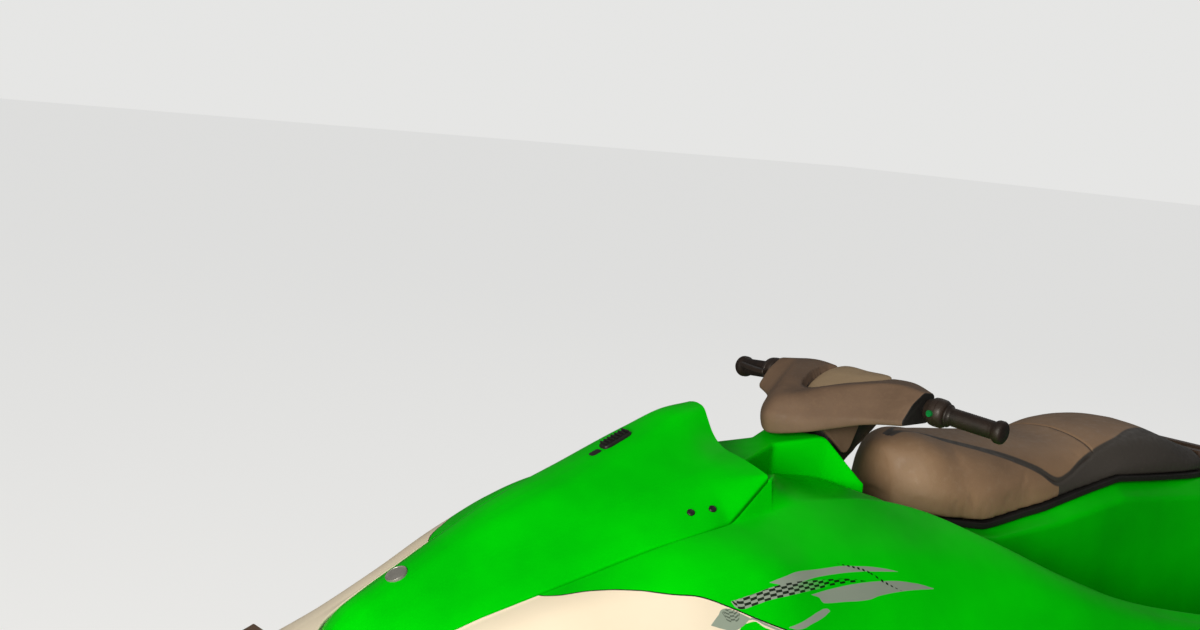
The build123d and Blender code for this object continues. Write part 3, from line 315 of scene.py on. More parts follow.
def liveryPaint(tree, tone, patches):
    # cream below the panel's edge, grey sweeps and rows of dark checks over the green, a dark line
    # along the edge and a broken one across the sweeps
    x, v, _ = addNode(tree, "SeparateXYZ", Vector=fieldOf(tree, "sidePlace")["Vector"]).outputs
    lower = mixTone(tree, patches, cream, creamShade)
    aboveEdge = maths(tree, "SUBTRACT", v, curveAt(tree, x, livery["edge"]))
    painted = mixTone(tree, rampBetween(tree, aboveEdge, 0, 1, -0.5, 0.5), lower, tone)
    for bands, colour in ((livery["greens"], tone), (livery["sweeps"], silver)):
        for upper, under in bands:
            share = bandShare(tree, x, v, upper, under)
            painted = mixTone(tree, share, painted, colour)
    for spec in livery["checks"]:
        share = bandShare(tree, x, v, spec["upper"], spec["lower"])
        fade = rampBetween(tree, x, 0, spec["pale"], *spec["fade"])
        painted = mixTone(tree, maths(tree, "MULTIPLY", share, fade), painted, silver)
        raised = maths(tree, "SUBTRACT", v, curveAt(tree, x, spec["lower"]))
        cells = maths(tree, "MULTIPLY", share, checksAt(tree, x, raised, spec["cell"]))
        cells = maths(tree, "MULTIPLY", cells, spec["depth"])
        painted = mixTone(tree, cells, painted, checkDark)
    broken = bandShare(tree, x, v, *livery["broken"])
    dashes = checksAt(tree, x, v, livery["dash"])
    painted = mixTone(tree, maths(tree, "MULTIPLY", broken, dashes), painted, checkDark)
    alongEdge = maths(tree, "SUBTRACT", livery["line"], maths(tree, "ABSOLUTE", aboveEdge))
    return mixTone(tree, rampBetween(tree, alongEdge, 0, 1, 0, 0.7), painted, checkDark)


livery = {
    # lines of x and of the height across the side, 0.6 z - 0.8 y, in mm
    "edge": [(300, -335), (400, -330), (500, -235), (620, -142), (711, -76), (748, -56), (779, -37),
             (805, -19), (828, -3), (850, 12), (872, 25), (913, 43), (967, 73), (1032, 105), (1086, 126),
             (1125, 170), (1240, 300)],
    "line": 1.6,
    "sweeps": [
        ([(735, 11), (702, 15), (644, 22), (576, 22), (511, 16), (454, 7), (415, -3)],
         [(735, 10), (712, 1), (697, -4), (656, 2), (585, 7), (517, 5), (471, 1), (415, -4)]),
        ([(650, -22), (596, -17), (527, -15), (457, -17), (386, -26), (331, -40)],
         [(650, -23), (632, -29), (621, -39), (573, -42), (515, -45), (480, -41), (416, -39), (331, -42)]),
        ([(716, -66), (695, -64), (668, -58), (640, -50), (622, -47), (612, -52)],
         [(716, -68), (690, -74), (663, -69), (634, -62), (612, -53)]),
        ([(793, -37), (785, -35), (764, -48), (735, -65), (690, -88), (640, -118)],
         [(793, -38), (785, -39), (764, -53), (735, -70), (690, -93), (640, -119)]),
        ([(862, -26), (844, -14), (833, -7), (820, -12), (806, -21), (788, -35)],
         [(862, -27), (839, -40), (822, -47), (808, -45), (788, -36)]),
    ],
    "greens": [
        ([(815, -49), (800, -41), (788, -41), (764, -56), (735, -73), (690, -96), (640, -122)],
         [(815, -50), (795, -76), (760, -96), (720, -118), (640, -123)]),
    ],
    "checks": [
        {"upper": [(816, 0), (776, 0), (739, 2), (699, 3), (632, 2), (566, -2), (505, -13)],
         "lower": [(816, -1), (790, -19), (745, -18), (707, -19), (641, -16), (571, -12), (505, -14)],
         "cell": (13, 4.4), "pale": 1, "fade": (600, 700), "depth": 0.95},
        {"upper": [(838, -12), (828, -9), (815, -13), (803, -24)],
         "lower": [(838, -13), (828, -30), (815, -34), (803, -25)],
         "cell": (8, 3), "pale": 0.01, "fade": (600, 700), "depth": 0.6},
    ],
    "broken": ([(562, 28), (529, 19), (495, 6), (461, -16), (418, -38)],
               [(562, 27), (529, 14), (495, 1), (461, -21), (418, -39)]),
    "dash": (5.5, 400),
}
materials = {name: makeMaterial(name, name) for name in finishes}
materials["livery"] = makeMaterial("livery", "greenCoat", liveryPaint)
print("materials made")


# surfaces on a grid
def smoothRows(table, x):
    # cubic through the table's rows, with slopes from the neighbouring spans weighted by length
    rows = np.array(table, float)
    rows = rows[np.argsort(rows[:, 0])]
    knots, values = rows[:, 0], rows[:, 1:]
    span = np.diff(knots)[:, None]
    slope = np.diff(values, axis=0) / span
    tangent = np.empty_like(values)
    tangent[0], tangent[-1] = slope[0], slope[-1]
    tangent[1:-1] = (span[1:] * slope[:-1] + span[:-1] * slope[1:]) / (span[:-1] + span[1:])
    x = np.clip(x, knots[0], knots[-1])
    k = np.clip(np.searchsorted(knots, x, side="right") - 1, 0, len(knots) - 2)
    h = (knots[k + 1] - knots[k])[:, None]
    t = ((x - knots[k])[:, None]) / h
    return (
        (2 * t**3 - 3 * t**2 + 1) * values[k]
        + (t**3 - 2 * t**2 + t) * h * tangent[k]
        + (3 * t**2 - 2 * t**3) * values[k + 1]
        + (t**3 - t**2) * h * tangent[k + 1]
    )


def roundedRun(corners, radii, arcSteps, runSteps, crown=None, closed=False):
    # corners is rows x corners x 2: each corner becomes a parabola that starts and ends its radius
    # away, and each straight between two parabolas bows out by crown times its length
    corners = np.asarray(corners, float)
    radii = np.broadcast_to(np.asarray(radii, float), corners.shape[:2])
    if closed:
        corners = np.concatenate([corners[:, -1:], corners, corners[:, :1]], axis=1)
        radii = np.pad(radii, ((0, 0), (1, 1)))
    count = corners.shape[1]
    back = corners[:, :-2] - corners[:, 1:-1]
    ahead = corners[:, 2:] - corners[:, 1:-1]
    backLength = np.linalg.norm(back, axis=2, keepdims=True) + 1e-9
    aheadLength = np.linalg.norm(ahead, axis=2, keepdims=True) + 1e-9
    cut = np.minimum(np.minimum(radii[:, 1:-1, None], 0.48 * backLength), 0.48 * aheadLength)
    start = corners[:, 1:-1] + back / backLength * cut
    end = corners[:, 1:-1] + ahead / aheadLength * cut
    t = np.linspace(0, 1, arcSteps)[None, None, :, None]
    start, middle, end = start[:, :, None], corners[:, 1:-1, None], end[:, :, None]
    arcs = (1 - t) ** 2 * start + 2 * t * (1 - t) * middle + t**2 * end
    pieces = []
    for i in range(1 if closed else 0, count - 1):
        a = corners[:, 0] if i == 0 else arcs[:, i - 1, -1]
        if closed and i == count - 2:
            b = arcs[:, 0, 0]
        else:
            b = corners[:, -1] if i == count - 2 else arcs[:, i, 0]
        steps = runSteps if np.isscalar(runSteps) else runSteps[i - 1 if closed else i]
        s = np.linspace(0, 1, steps + 2)[None, 1:-1, None]
        run = a[:, None] * (1 - s) + b[:, None] * s
        if crown is not None:
            along = b - a
            side = np.stack([along[:, 1], -along[:, 0]], axis=1)[:, None]
            run = run + side * (4 * s * (1 - s)) * crown[i - 1 if closed else i]
        if i == 0:
            pieces.append(a[:, None])
        if closed and i == 1:
            pieces.append(arcs[:, 0])
        pieces.append(run)
        if i < count - 2:
            pieces.append(arcs[:, i])
        elif not closed:
            pieces.append(b[:, None])
    return np.concatenate(pieces, axis=1)


def gridFaces(rows, columns, wrap):
    # quads between neighbouring points, wrapped round the section where it is a closed loop
    index = np.arange(rows * columns).reshape(rows, columns)
    nextColumn = np.roll(index, -1, axis=1) if wrap else index[:, 1:]
    here = index if wrap else index[:, :-1]
    return np.stack([here[:-1], here[1:], nextColumn[1:], nextColumn[:-1]], axis=-1).reshape(-1, 4)


def makeMesh(name, points, faces, sharp=38):
    mesh = bpy.data.meshes.new(name)
    mesh.from_pydata(np.asarray(points, float).reshape(-1, 3).tolist(), [], [list(f) for f in faces])
    work = bmesh.new()
    work.from_mesh(mesh)
    bmesh.ops.remove_doubles(work, verts=work.verts, dist=2e-6)
    bmesh.ops.dissolve_degenerate(work, edges=work.edges, dist=1e-6)
    bmesh.ops.recalc_face_normals(work, faces=work.faces)
    work.to_mesh(mesh)
    work.free()
    mesh.polygons.foreach_set("use_smooth", np.ones(len(mesh.polygons), bool))
    if sharp:
        mesh.set_sharp_from_angle(angle=math.radians(sharp))
    mesh.update()
    return addObject(name, mesh)


def stacked(name, grid, sharp=38):
    # closed loops, one a row, in mm, with an end face on the first and the last
    grid = np.asarray(grid, float)
    rows, columns = grid.shape[:2]
    last = (rows - 1) * columns
    ends = [list(range(columns)), list(range(last, last + columns))[::-1]]
    return makeMesh(name, grid * mm, gridFaces(rows, columns, True).tolist() + ends, sharp)


def placed(x, loops):
    # the x of each row put before the y and z of its points
    return np.concatenate([np.repeat(x[:, None, None], loops.shape[1], axis=1), loops], axis=2)


def mirroredLoft(name, x, half, sharp=38):
    # half is rows x points x 2 of y and z, from the centreline below to the centreline above; the
    # starboard half repeats it backwards
    port = placed(x, half)
    return stacked(name, np.concatenate([port, port[:, -2:0:-1] * np.array([1, -1, 1])], axis=1), sharp)


def spread(start, end, step):
    return np.linspace(start, end, max(2, int(round(abs(end - start) / step)) + 1))


def section(x, *points):
    # rows x points x 2, from points whose y and z are numbers or run along x
    return np.stack([np.stack(np.broadcast_arrays(y, z, x)[:2], axis=-1) for y, z in points], axis=1)


def axesFrom(normal, along):
    # unit vectors: along the piece, across it and out of it
    n = np.array(normal, float)
    n /= np.linalg.norm(n)
    u = np.array(along, float)
    u -= n * (u @ n)
    u /= np.linalg.norm(u)
    return u, np.cross(n, u), n


def raisedDisc(name, centre, normal, along, half, power, profile, sides=48):
    # rings of |u/a|^power + |v/b|^power = 1, each scaled by share and lifted by height; the
    # profile is rows of share and height in mm
    u, v, n = axesFrom(normal, along)
    angle = np.linspace(0, 2 * np.pi, sides, endpoint=False)
    c, s = np.cos(angle), np.sin(angle)
    reach = (np.abs(c) ** power + np.abs(s) ** power) ** (-1 / power)
    outline = (half[0] * reach * c)[:, None] * u + (half[1] * reach * s)[:, None] * v
    grid = [np.array(centre) + share * outline + height * n for share, height in profile]
    return stacked(name, np.array(grid))


def turnedAlong(name, start, axis, profile, sides):
    # profile rows of distance along the axis and radius, both in mm, swept round the axis
    u, v, n = axesFrom(axis, (0.1, 0.2, 1))
    angle = np.linspace(0, 2 * np.pi, sides, endpoint=False)
    around = np.cos(angle)[:, None] * u + np.sin(angle)[:, None] * v
    grid = [np.array(start) + s * n + max(r, 0.01) * around for s, r in profile]
    return stacked(name, np.array(grid), 50)


def slab(name, outline, thickness, origin, along, across, bevel):
    # a flat outline of two coordinates in mm, thickened to both sides, its edges rounded
    outline = np.asarray(outline, float)
    u, v = np.array(along, float), np.array(across, float)
    n = np.cross(u, v)
    flat = np.array(origin) + outline[:, :1] * u + outline[:, 1:] * v
    piece = stacked(name, np.array([flat - n * thickness / 2, flat + n * thickness / 2]), 30)
    if bevel:
        softenEdges(piece, bevel)
    return piece


def writePoints(mesh, points):
    mesh.vertices.foreach_set("co", (points * mm).ravel())


def softenEdges(piece, width, segments=3, angle=30):
    edge = piece.modifiers.new("edges", "BEVEL")
    edge.width = width * mm
    edge.segments = segments
    edge.limit_method = "ANGLE"
    edge.angle_limit = math.radians(angle)
    edge.harden_normals = True


def joined(name, pieces):
    # several meshes as one piece
    work = bmesh.new()
    for piece in pieces:
        work.from_mesh(piece.data)
    mesh = bpy.data.meshes.new(name)
    work.to_mesh(mesh)
    work.free()
    for piece in pieces:
        bpy.data.objects.remove(piece)
    return addObject(name, mesh)


def applied(piece):
    # the piece with its modifiers worked into its mesh
    graph = bpy.context.evaluated_depsgraph_get()
    mesh = bpy.data.meshes.new_from_object(piece.evaluated_get(graph))
    mesh.name = piece.name
    piece.modifiers.clear()
    piece.data = mesh


def dress(piece, body, material, nodes, slot):
    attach(piece, body)
    if nodes:
        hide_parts(*nodes)
    if not piece.data.materials:
        piece.data.materials.append(materials[material])
    print(piece.name, len(piece.data.polygons))


def readPoints(mesh):
    flat = np.empty(len(mesh.vertices) * 3)
    mesh.vertices.foreach_get("co", flat)
    return flat.reshape(-1, 3) * 1000


def addField(mesh, name, values):
    kind = "FLOAT" if values.ndim == 1 else "FLOAT_VECTOR"
    field = mesh.attributes.new(name, kind, "POINT")
    field.data.foreach_set("value" if kind == "FLOAT" else "vector", values.astype(float).ravel())


# hull and deck stations in millimetres: half breadths and heights of the keel, chine, bond,
# rail, shoulder, crest and inner lines and of the top
form = {
    "stations": [
        # x, keel, chine, bond, rail, shoulder, crest, inner, top
        (1572, 222, 20, 226, 50, 236, 44, 268, 34, 296, 20, 300, 8, 303, 304),
        (1500, 172, 90, 186, 172, 234, 166, 278, 120, 318, 72, 328, 36, 336, 337),
        (1420, 100, 150, 140, 278, 232, 268, 276, 172, 340, 112, 354, 50, 362, 363),
        (1320, -6, 205, 84, 345, 224, 335, 266, 190, 378, 136, 390, 80, 410, 408),
        (1200, -100, 262, 25, 398, 212, 388, 252, 212, 430, 164, 440, 100, 478, 474),
        (1050, -196, 320, -30, 446, 200, 436, 240, 262, 486, 205, 500, 120, 532, 530),
        (850, -256, 374, -75, 492, 190, 482, 230, 344, 528, 249, 572, 140, 584, 582),
        (700, -270, 398, -90, 510, 186, 500, 226, 388, 540, 250, 600, 232, 612, 600),
        (612, -270, 408, -98, 522, 182, 512, 222, 390, 535, 243, 616, 228, 672, 600),
        (520, -270, 415, -102, 530, 180, 520, 220, 390, 538, 239, 624, 142, 656, 610),
        (440, -270, 421, -106, 537, 179, 527, 219, 388, 540, 238, 624, 75, 634, 624),
        (330, -270, 427, -110, 544, 178, 534, 218, 390, 532, 254, 616, 92, 622, 612),
        (250, -270, 429, -111, 548, 177, 538, 217, 396, 520, 276, 600, 122, 588, 588),
        (90, -270, 431, -112, 553, 175, 543, 215, 418, 478, 338, 540, 140, 526, 526),
        (-100, -270, 432, -112, 556, 173, 546, 213, 455, 420, 404, 456, 166, 508, 508),
        (-300, -270, 432, -112, 558, 172, 548, 212, 482, 364, 446, 386, 168, 536, 536),
        (-550, -270, 432, -112, 556, 170, 546, 210, 500, 322, 472, 336, 166, 591, 591),
        (-1000, -270, 430, -112, 546, 168, 536, 208, 496, 300, 460, 310, 160, 574, 574),
        (-1420, -270, 418, -108, 518, 167, 508, 205, 466, 280, 430, 290, 150, 556, 556),
        (-1580, -270, 405, -104, 490, 166, 480, 204, 444, 268, 408, 276, 140, 550, 550),
    ],
    "base": [(-1120, 562), (-1000, 568), (-550, 585), (-300, 530), (-100, 502), (100, 522)],
    "transom": -1420,
    "stern": -1580,
    "bow": 1572,
}


def linesAt(table, names, x):
    # half breadth and height of each line at each x, by name
    return dict(zip(names, smoothRows(table, np.asarray(x, float)).T))


def stationAt(x):
    lines = ["chine", "bond", "rail", "shoulder", "crest", "inner"]
    return linesAt(form["stations"], ["keel", *[line + axis for line in lines for axis in "YZ"], "top"], x)


def baseAt(x):
    # height of the flat top of the seat's base, or far above the deck where there is none
    return np.where(x > 100, 9999, np.interp(x, *zip(*form["base"])))


hood = {
    "stations": [
        # x, edge, crease, flank, ridge: half breadth and height of each
        (1425, 20, 358, 14, 364, 10, 365, 6, 366),
        (1370, 84, 376, 56, 403, 38, 417, 22, 426),
        (1304, 124, 398, 76, 436, 48, 450, 26, 466),
        (1191, 156, 446, 98, 486, 62, 510, 30, 533),
        (1060, 193, 499, 126, 542, 87, 569, 42, 600),
        (900, 230, 559, 160, 600, 103, 631, 47, 664),
        (760, 245, 592, 184, 640, 106, 682, 40, 728),
        (690, 240, 608, 200, 664, 92, 700, 32, 760),
        (622, 229, 674, 226, 679, 72, 707, 26, 773),
    ],
    "kink": (718, 243, 600),  # where the rear of the side edge turns up, straight to the last row
    "gap": 5,
    "skirt": 18,
    "spine": 3,
    "wall": 8,
    "floor": 583,
    "radii": [0, 5, 46, 60, 40, 0],
    "runs": [2, 5, 6, 6, 5],
    "crown": [0, 0.02, 0.02, 0, 0.03],
}


def hoodAt(x):
    names = [line + axis for line in ("edge", "crease", "flank", "ridge") for axis in "YZ"]
    lines = linesAt(hood["stations"], names, x)
    kinkX, kinkY, kinkZ = hood["kink"]
    endX, endY, endZ = hood["stations"][-1][:3]
    lines["edgeY"] = np.where(x < kinkX, np.interp(x, [endX, kinkX], [endY, kinkY]), lines["edgeY"])
    lines["edgeZ"] = np.where(x < kinkX, np.interp(x, [endX, kinkX], [endZ, kinkZ]), lines["edgeZ"])
    return lines


print("helpers ready")


# hull: keel, chine and bond with the intake's duct and the pump's tunnel sunk into its bottom
hull = {
    "intake": (-770, -1040),
    "duct": ([-1080, -770], [-83, -232]),  # the duct's roof over x
    "intakeHalf": 62,
    "tunnel": -1080,
    "tunnelHalf": 130,
    "tunnelTop": -8,
    "steps": (18, 18),  # rows ahead of and behind x = 0
    "radii": [0, 4, 4, 9, 3, 0],
    "runs": [2, 2, 8, 10, 3],
    "crown": [0, 0, 0.012, 0.02, 0],
}


def hullColumns(x, kind):
    s = stationAt(x)
    plain = kind == "plain"
    if kind == "tunnel":
        inner, roof = hull["tunnelHalf"], hull["tunnelTop"]
    elif kind == "intake":
        inner, roof = hull["intakeHalf"], np.interp(x, *hull["duct"])
    else:
        inner, roof = 0.3 * s["chineY"], s["keel"]
    low = s["keel"] + (s["chineZ"] - s["keel"]) * inner / s["chineY"]
    first = 0.15 * s["chineY"] if plain else inner
    firstZ = s["keel"] + 0.5 * (low - s["keel"]) if plain else roof
    chine, bond = (s["chineY"], s["chineZ"]), (s["bondY"], s["bondZ"])
    return section(x, (0, roof), (first, firstZ), (inner, low), chine, bond, (0, s["bondZ"]))


def loftRegions(name, regions, columnsAt, spec, sharp=38):
    # each region starts at its x and ends where the next one starts, with corners of its own kind
    xs, corners = [], []
    for (start, *kind), (end, *_) in zip(regions, regions[1:]):
        xs.append(spread(start, end, spec["steps"][0 if start > 0 else 1]))
        corners.append(columnsAt(xs[-1], *kind))
    half = roundedRun(np.concatenate(corners), spec["radii"], 5, spec["runs"], spec["crown"])
    return mirroredLoft(name, np.concatenate(xs), half, sharp)


def makeHull():
    front, back = hull["intake"]
    regions = [(form["bow"], "plain"), (front, "intake"), (back, "plain"), (hull["tunnel"], "tunnel"),
               (form["transom"],)]
    return loftRegions("hullShell", regions, hullColumns, hull)


dress(makeHull(), "hull", "hullBlack", ["hull"], "hull_black")


# deck: one closed shell whose section has corners for the outer lines and for whatever is sunk
# into it at that place, the hood's recess and tub, the footwells, the glove box and engine bay
deck = {
    "steps": (8, 14),
    "platform": 200,
    "platformHalf": 398,
    "platformRows": (150, 96, 48),  # half breadths of the points across its floor
    "rearRamp": ([-1310, -1120], [212, 330]),
    "wellStart": 330,
    "wellEnd": -1120,
    "wellRamp": ([120, 330], [178, 430]),
    "baseHalf": 208,
    "wellOuter": ([-1120, -550, -200, 90, 250, 330], [446, 458, 418, 325, 262, 246]),
    "recess": (1430, 617),
    "tub": {"front": 1180, "back": 740, "half": 160, "floor": 260},
    "glove": {"front": 226, "back": 122, "half": 70, "floor": 430},
    "bay": {"front": -80, "back": -700, "half": 136, "floor": -185},
    "radii": [0, 0, 0, 4, 10, 60, 7, 6, 10, 12, 10, 9, 6, 6, 0],
    "crown": [0, 0, 0, 0, 0.03, 0.02, 0, 0, 0, 0, 0, 0, 0, 0],
    "runs": [0, 0, 0, 0, 16, 8, 4, 2, 2, 1, 3, 4, 0, 2],
}


def onLine(y, y0, z0, y1, z1):
    # height at half breadth y on the line through two points
    return z0 + (z1 - z0) * (y0 - y) / np.maximum(y0 - y1, 1e-6)


def deckColumns(x, kind, pocket=None):
    s = stationAt(x)
    crest = (s["crestY"], s["crestZ"])
    shoulderZ = s["shoulderZ"]
    base = baseAt(x)
    innerZ, topZ = np.minimum(s["innerZ"], base), np.minimum(s["top"], base)
    inner = (s["innerY"], innerZ)
    rise = topZ - innerZ
    centre = [(0.6 * s["innerY"], innerZ + 0.4 * rise), (0.3 * s["innerY"], innerZ + 0.7 * rise), (0, topZ)]
    if kind == "recess":
        h = hoodAt(np.clip(x, hood["stations"][-1][0], hood["stations"][0][0]))
        edge = h["edgeY"] + hood["gap"]
        low = h["edgeZ"] - hood["skirt"] - hood["gap"]
        floor = np.minimum(low, hood["floor"])
        half, lip, deep = 0.7 * edge, 0.9 * h["edgeY"], floor
        rim = 0.5 * edge
        if pocket:
            half = rim = deck["tub"]["half"]
            lip, deep = np.maximum(lip, half + 4), deck["tub"]["floor"]
        beside = np.where(x < hood["kink"][0], h["edgeZ"] - 1, onLine(edge, *crest, *inner))
        top = [(edge, beside), (edge, low), (lip, floor), (half, floor), (rim, deep)]
        top += [(0.4 * edge, deep), (0.2 * edge, deep), (0, deep)]
    elif kind == "plain":
        lineY = [crest[0] + (inner[0] - crest[0]) * share for share in (0.2, 0.4, 0.6, 0.8)]
        top = [(y, onLine(y, *crest, *inner)) for y in lineY] + [inner] + centre
    elif kind == "well":
        outer = np.interp(x, *deck["wellOuter"])
        half, floor = deck["baseHalf"], np.interp(x, *deck["wellRamp"])
        top = [
            (outer, onLine(outer, *crest, *inner)),
            (np.maximum(outer - 4, half + 2), floor),
            (half, floor),
            (half, np.minimum(onLine(half, *crest, *inner), base)),
            inner,
        ]
        if pocket:
            wall, bottom = deck[pocket]["half"], deck[pocket]["floor"]
            top += [(wall, topZ), (wall, bottom), (0, bottom)]
        else:
            top += centre
    else:
        ramp = np.interp(x, *deck["rearRamp"])
        shoulderZ = np.minimum(shoulderZ, ramp)
        crest = (crest[0], np.minimum(crest[1], ramp + 1))
        half, wall = deck["baseHalf"], deck["platformHalf"]
        top = [(wall + 2, crest[1])]
        top += [(y, deck["platform"]) for y in (wall, half + 1, half, *deck["platformRows"], 0)]
    under = s["bondZ"]
    if pocket == "bay":
        wall, bottom = deck["bay"]["half"] + 8, deck["bay"]["floor"] - 8
        below = [(0, bottom), (wall, bottom), (wall, under)]
    else:
        below = [(share * s["bondY"], under) for share in (0, 0.15, 0.27)]
    side = [(s["bondY"], under), (s["railY"], s["railZ"]), (s["shoulderY"], shoulderZ), crest]
    return section(x, *below, *side, *top)


def makeDeck():
    tub, glove, bay = deck["tub"], deck["glove"], deck["bay"]
    recessFront, recessBack = deck["recess"]
    regions = [
        (form["bow"], "plain"),
        (recessFront, "recess"),
        (tub["front"], "recess", "tub"),
        (tub["back"], "recess"),
        (recessBack, "plain"),
        (deck["wellStart"], "well"),
        (glove["front"], "well", "glove"),
        (glove["back"], "well"),
        (bay["front"], "well", "bay"),
        (bay["back"], "well"),
        (deck["wellEnd"], "platform"),
        (form["stern"],),
    ]
    piece = loftRegions("deckShell", regions, deckColumns, deck, 55)
    x, y, z = readPoints(piece.data).T
    addField(piece.data, "sidePlace", np.column_stack([x, 0.6 * z - 0.8 * np.abs(y), 0 * x]))
    return piece


dress(makeDeck(), "hull", "livery", ["deck"], "deck_white")


# hood: an open shell with its rear wall, thickened inwards
def makeHood():
    x = spread(hood["stations"][0][0], hood["stations"][-1][0], 6)
    h = hoodAt(x)
    corners = section(
        x,
        (h["edgeY"] - 4, h["edgeZ"] - hood["skirt"]),
        (h["edgeY"], h["edgeZ"]),
        (h["creaseY"], h["creaseZ"]),
        (h["flankY"], h["flankZ"]),
        (h["ridgeY"], h["ridgeZ"]),
        (0, h["ridgeZ"] + hood["spine"]),
    )
    half = roundedRun(corners, hood["radii"], 8, hood["runs"], hood["crown"])
    port = placed(x, half)
    grid = np.concatenate([port, port[:, -2::-1] * np.array([1, -1, 1])], axis=1)
    rows, columns = grid.shape[:2]
    faces = gridFaces(rows, columns, False).tolist()
    faces.append([(rows - 1) * columns + i for i in range(columns)])
    piece = makeMesh("hoodShell", grid * mm, faces)
    if sum(face.normal.z * face.area for face in piece.data.polygons) < 0:
        piece.data.flip_normals()
    wall = piece.modifiers.new("wall", "SOLIDIFY")
    wall.thickness = hood["wall"] * mm
    wall.offset = -1
    softenEdges(piece, 1.5, 2, 50)
    return piece


dress(makeHood(), "hood", "greenCoat", ["hood"], "green")


# fittings on the hood: latch, a thin black disc of painted shade where its finger recess lies, blank disc
# and round plugs
trim = {
    # "look" is the material, the CAD nodes it replaces and the slot
    "latch": {"x": 815, "half": (34, 14), "power": 5, "lift": 7,
              "look": ("hardBlack", ["hood_latch"], "black_plastic")},
    # painted shade: a thin black disc, barely raised, stands for the shaded finger recess
    "recess": {"x": 862, "half": (12, 9), "power": 4, "lift": 1.2,
               "look": ("hardBlack", (), "black_plastic")},
    "disc": {"x": 1280, "half": (21, 21), "power": 2,
             "profile": [(1, -3), (1, 2), (0.97, 3), (0.9, 3), (0.87, 2.2), (0.5, 2.6), (0.01, 2.8)],
             "look": ("discGrey", ["hood_badge"], "badge_grey")},
    "ribs": {"count": 7, "pitch": 9, "half": (1.6, 11), "thick": 2.4, "height": 9.2},
    "plugs": [(787, 0.57), (744, 0.47)],  # x, and the share of the way from edge to crease
    "plugProfile": [(0, 7.5), (5, 7.5), (6.3, 6.6), (6.6, 5), (5.6, 3.6), (5.4, 0)],
}


def onHood(x):
    # point and normal on the hood's centreline at x
    z = hoodAt(np.array([x + 10, x, x - 10]))["ridgeZ"]
    slope = math.atan2(z[2] - z[0], 20)
    return (x, 0, z[1] + hood["spine"]), (math.sin(slope), 0, math.cos(slope))


def domed(lift):
    # a flat-topped button's shares and heights
    rim = [(1, -4), (1, 0.6 * lift), (0.96, 0.85 * lift), (0.88, lift)]
    return rim + [(0.5, lift + 0.4), (0.01, lift + 0.5)]


def makeHoodTrim():
    for name in ("latch", "recess", "disc"):
        spec = trim[name]
        centre, normal = onHood(spec["x"])
        shape = (spec["half"], spec["power"], spec["profile"] if "profile" in spec else domed(spec["lift"]))
        piece = raisedDisc("hood" + name.capitalize(), centre, normal, (1, 0, 0), *shape)
        dress(piece, "hood", *spec["look"])
    centre, normal = onHood(trim["latch"]["x"])
    u, v, n = axesFrom(normal, (1, 0, 0))
    spec = trim["ribs"]
    ribs = []
    for k in range(spec["count"]):
        along = spec["pitch"] * (k - (spec["count"] - 1) / 2)
        place = np.array(centre) + u * along + n * spec["height"]
        ribs.append(slab("rib", rectangle(*spec["half"]), spec["thick"], place, u, v, 0))
    dress(joined("latchRibs", ribs), "hood", "softBlack", (), "black_plastic")
    plugs = []
    for x, share in trim["plugs"]:
        xs = np.array([x + 10, x, x - 10])
        h = hoodAt(xs)
        edge = np.stack([xs, h["edgeY"], h["edgeZ"]], axis=1)
        crease = np.stack([xs, h["creaseY"], h["creaseZ"]], axis=1)
        line = edge + share * (crease - edge)
        normal = np.cross(line[0] - line[2], edge[1] - crease[1])
        normal *= np.sign(normal[2]) / np.linalg.norm(normal)
        for side in (-1, 1):
            flip = np.array((1, side, 1))
            start = (line[1] - 3 * normal) * flip
            plugs.append(turnedAlong("plug", start, normal * flip, trim["plugProfile"], 28))
    dress(joined("hoodPlugs", plugs), "hood", "hardBlack", ["hood_plugs"], "black_plastic")


makeHoodTrim()


# rails along the bond and the bumper round the bow
rails = {
    "front": 1394,
    # a line of the hull, and the step out and up from it
    "corners": [("bond", -3, 2), ("bond", 11, 4), ("bond", 14, 12), ("bond", 10, 16), ("rail", 17, -15),
                ("rail", 16, -8), ("rail", 10, -2), ("rail", -3, 0)],
    "radii": [0, 4, 5, 3, 3, 5, 4, 0],
}
bumper = {
    "outer": [(1396, 325), (1478, 258), (1545, 158), (1585, 76), (1604, 30), (1609, 0)],
    "inner": [(1396, 205), (1500, 100), (1552, 0)],
    "low": 240,
    "top": 312,
    "round": 12,
    "groove": [(0, 268), (-5, 272), (-5, 278), (0, 282)],
    "radii": [0, 8, 8, 2, 2, 2, 2, 8, 8, 0],
}


def makeRail(side, name, node):
    x = spread(rails["front"], form["stern"], 14)
    s = stationAt(x)
    corners = section(x, *[(s[line + "Y"] + out, s[line + "Z"] + up) for line, out, up in rails["corners"]])
    grid = placed(x, roundedRun(corners, rails["radii"], 4, 1))
    dress(stacked(name, grid * np.array([1, side, 1])), "hull", "railGreen", [node], "green")


def alongLine(points, share):
    # smooth points at shares of a polyline's length
    points = np.array(points, float)
    run = np.concatenate([[0], np.cumsum(np.linalg.norm(np.diff(points, axis=0), axis=1))])
    return smoothRows(np.column_stack([run / run[-1], points]), share)


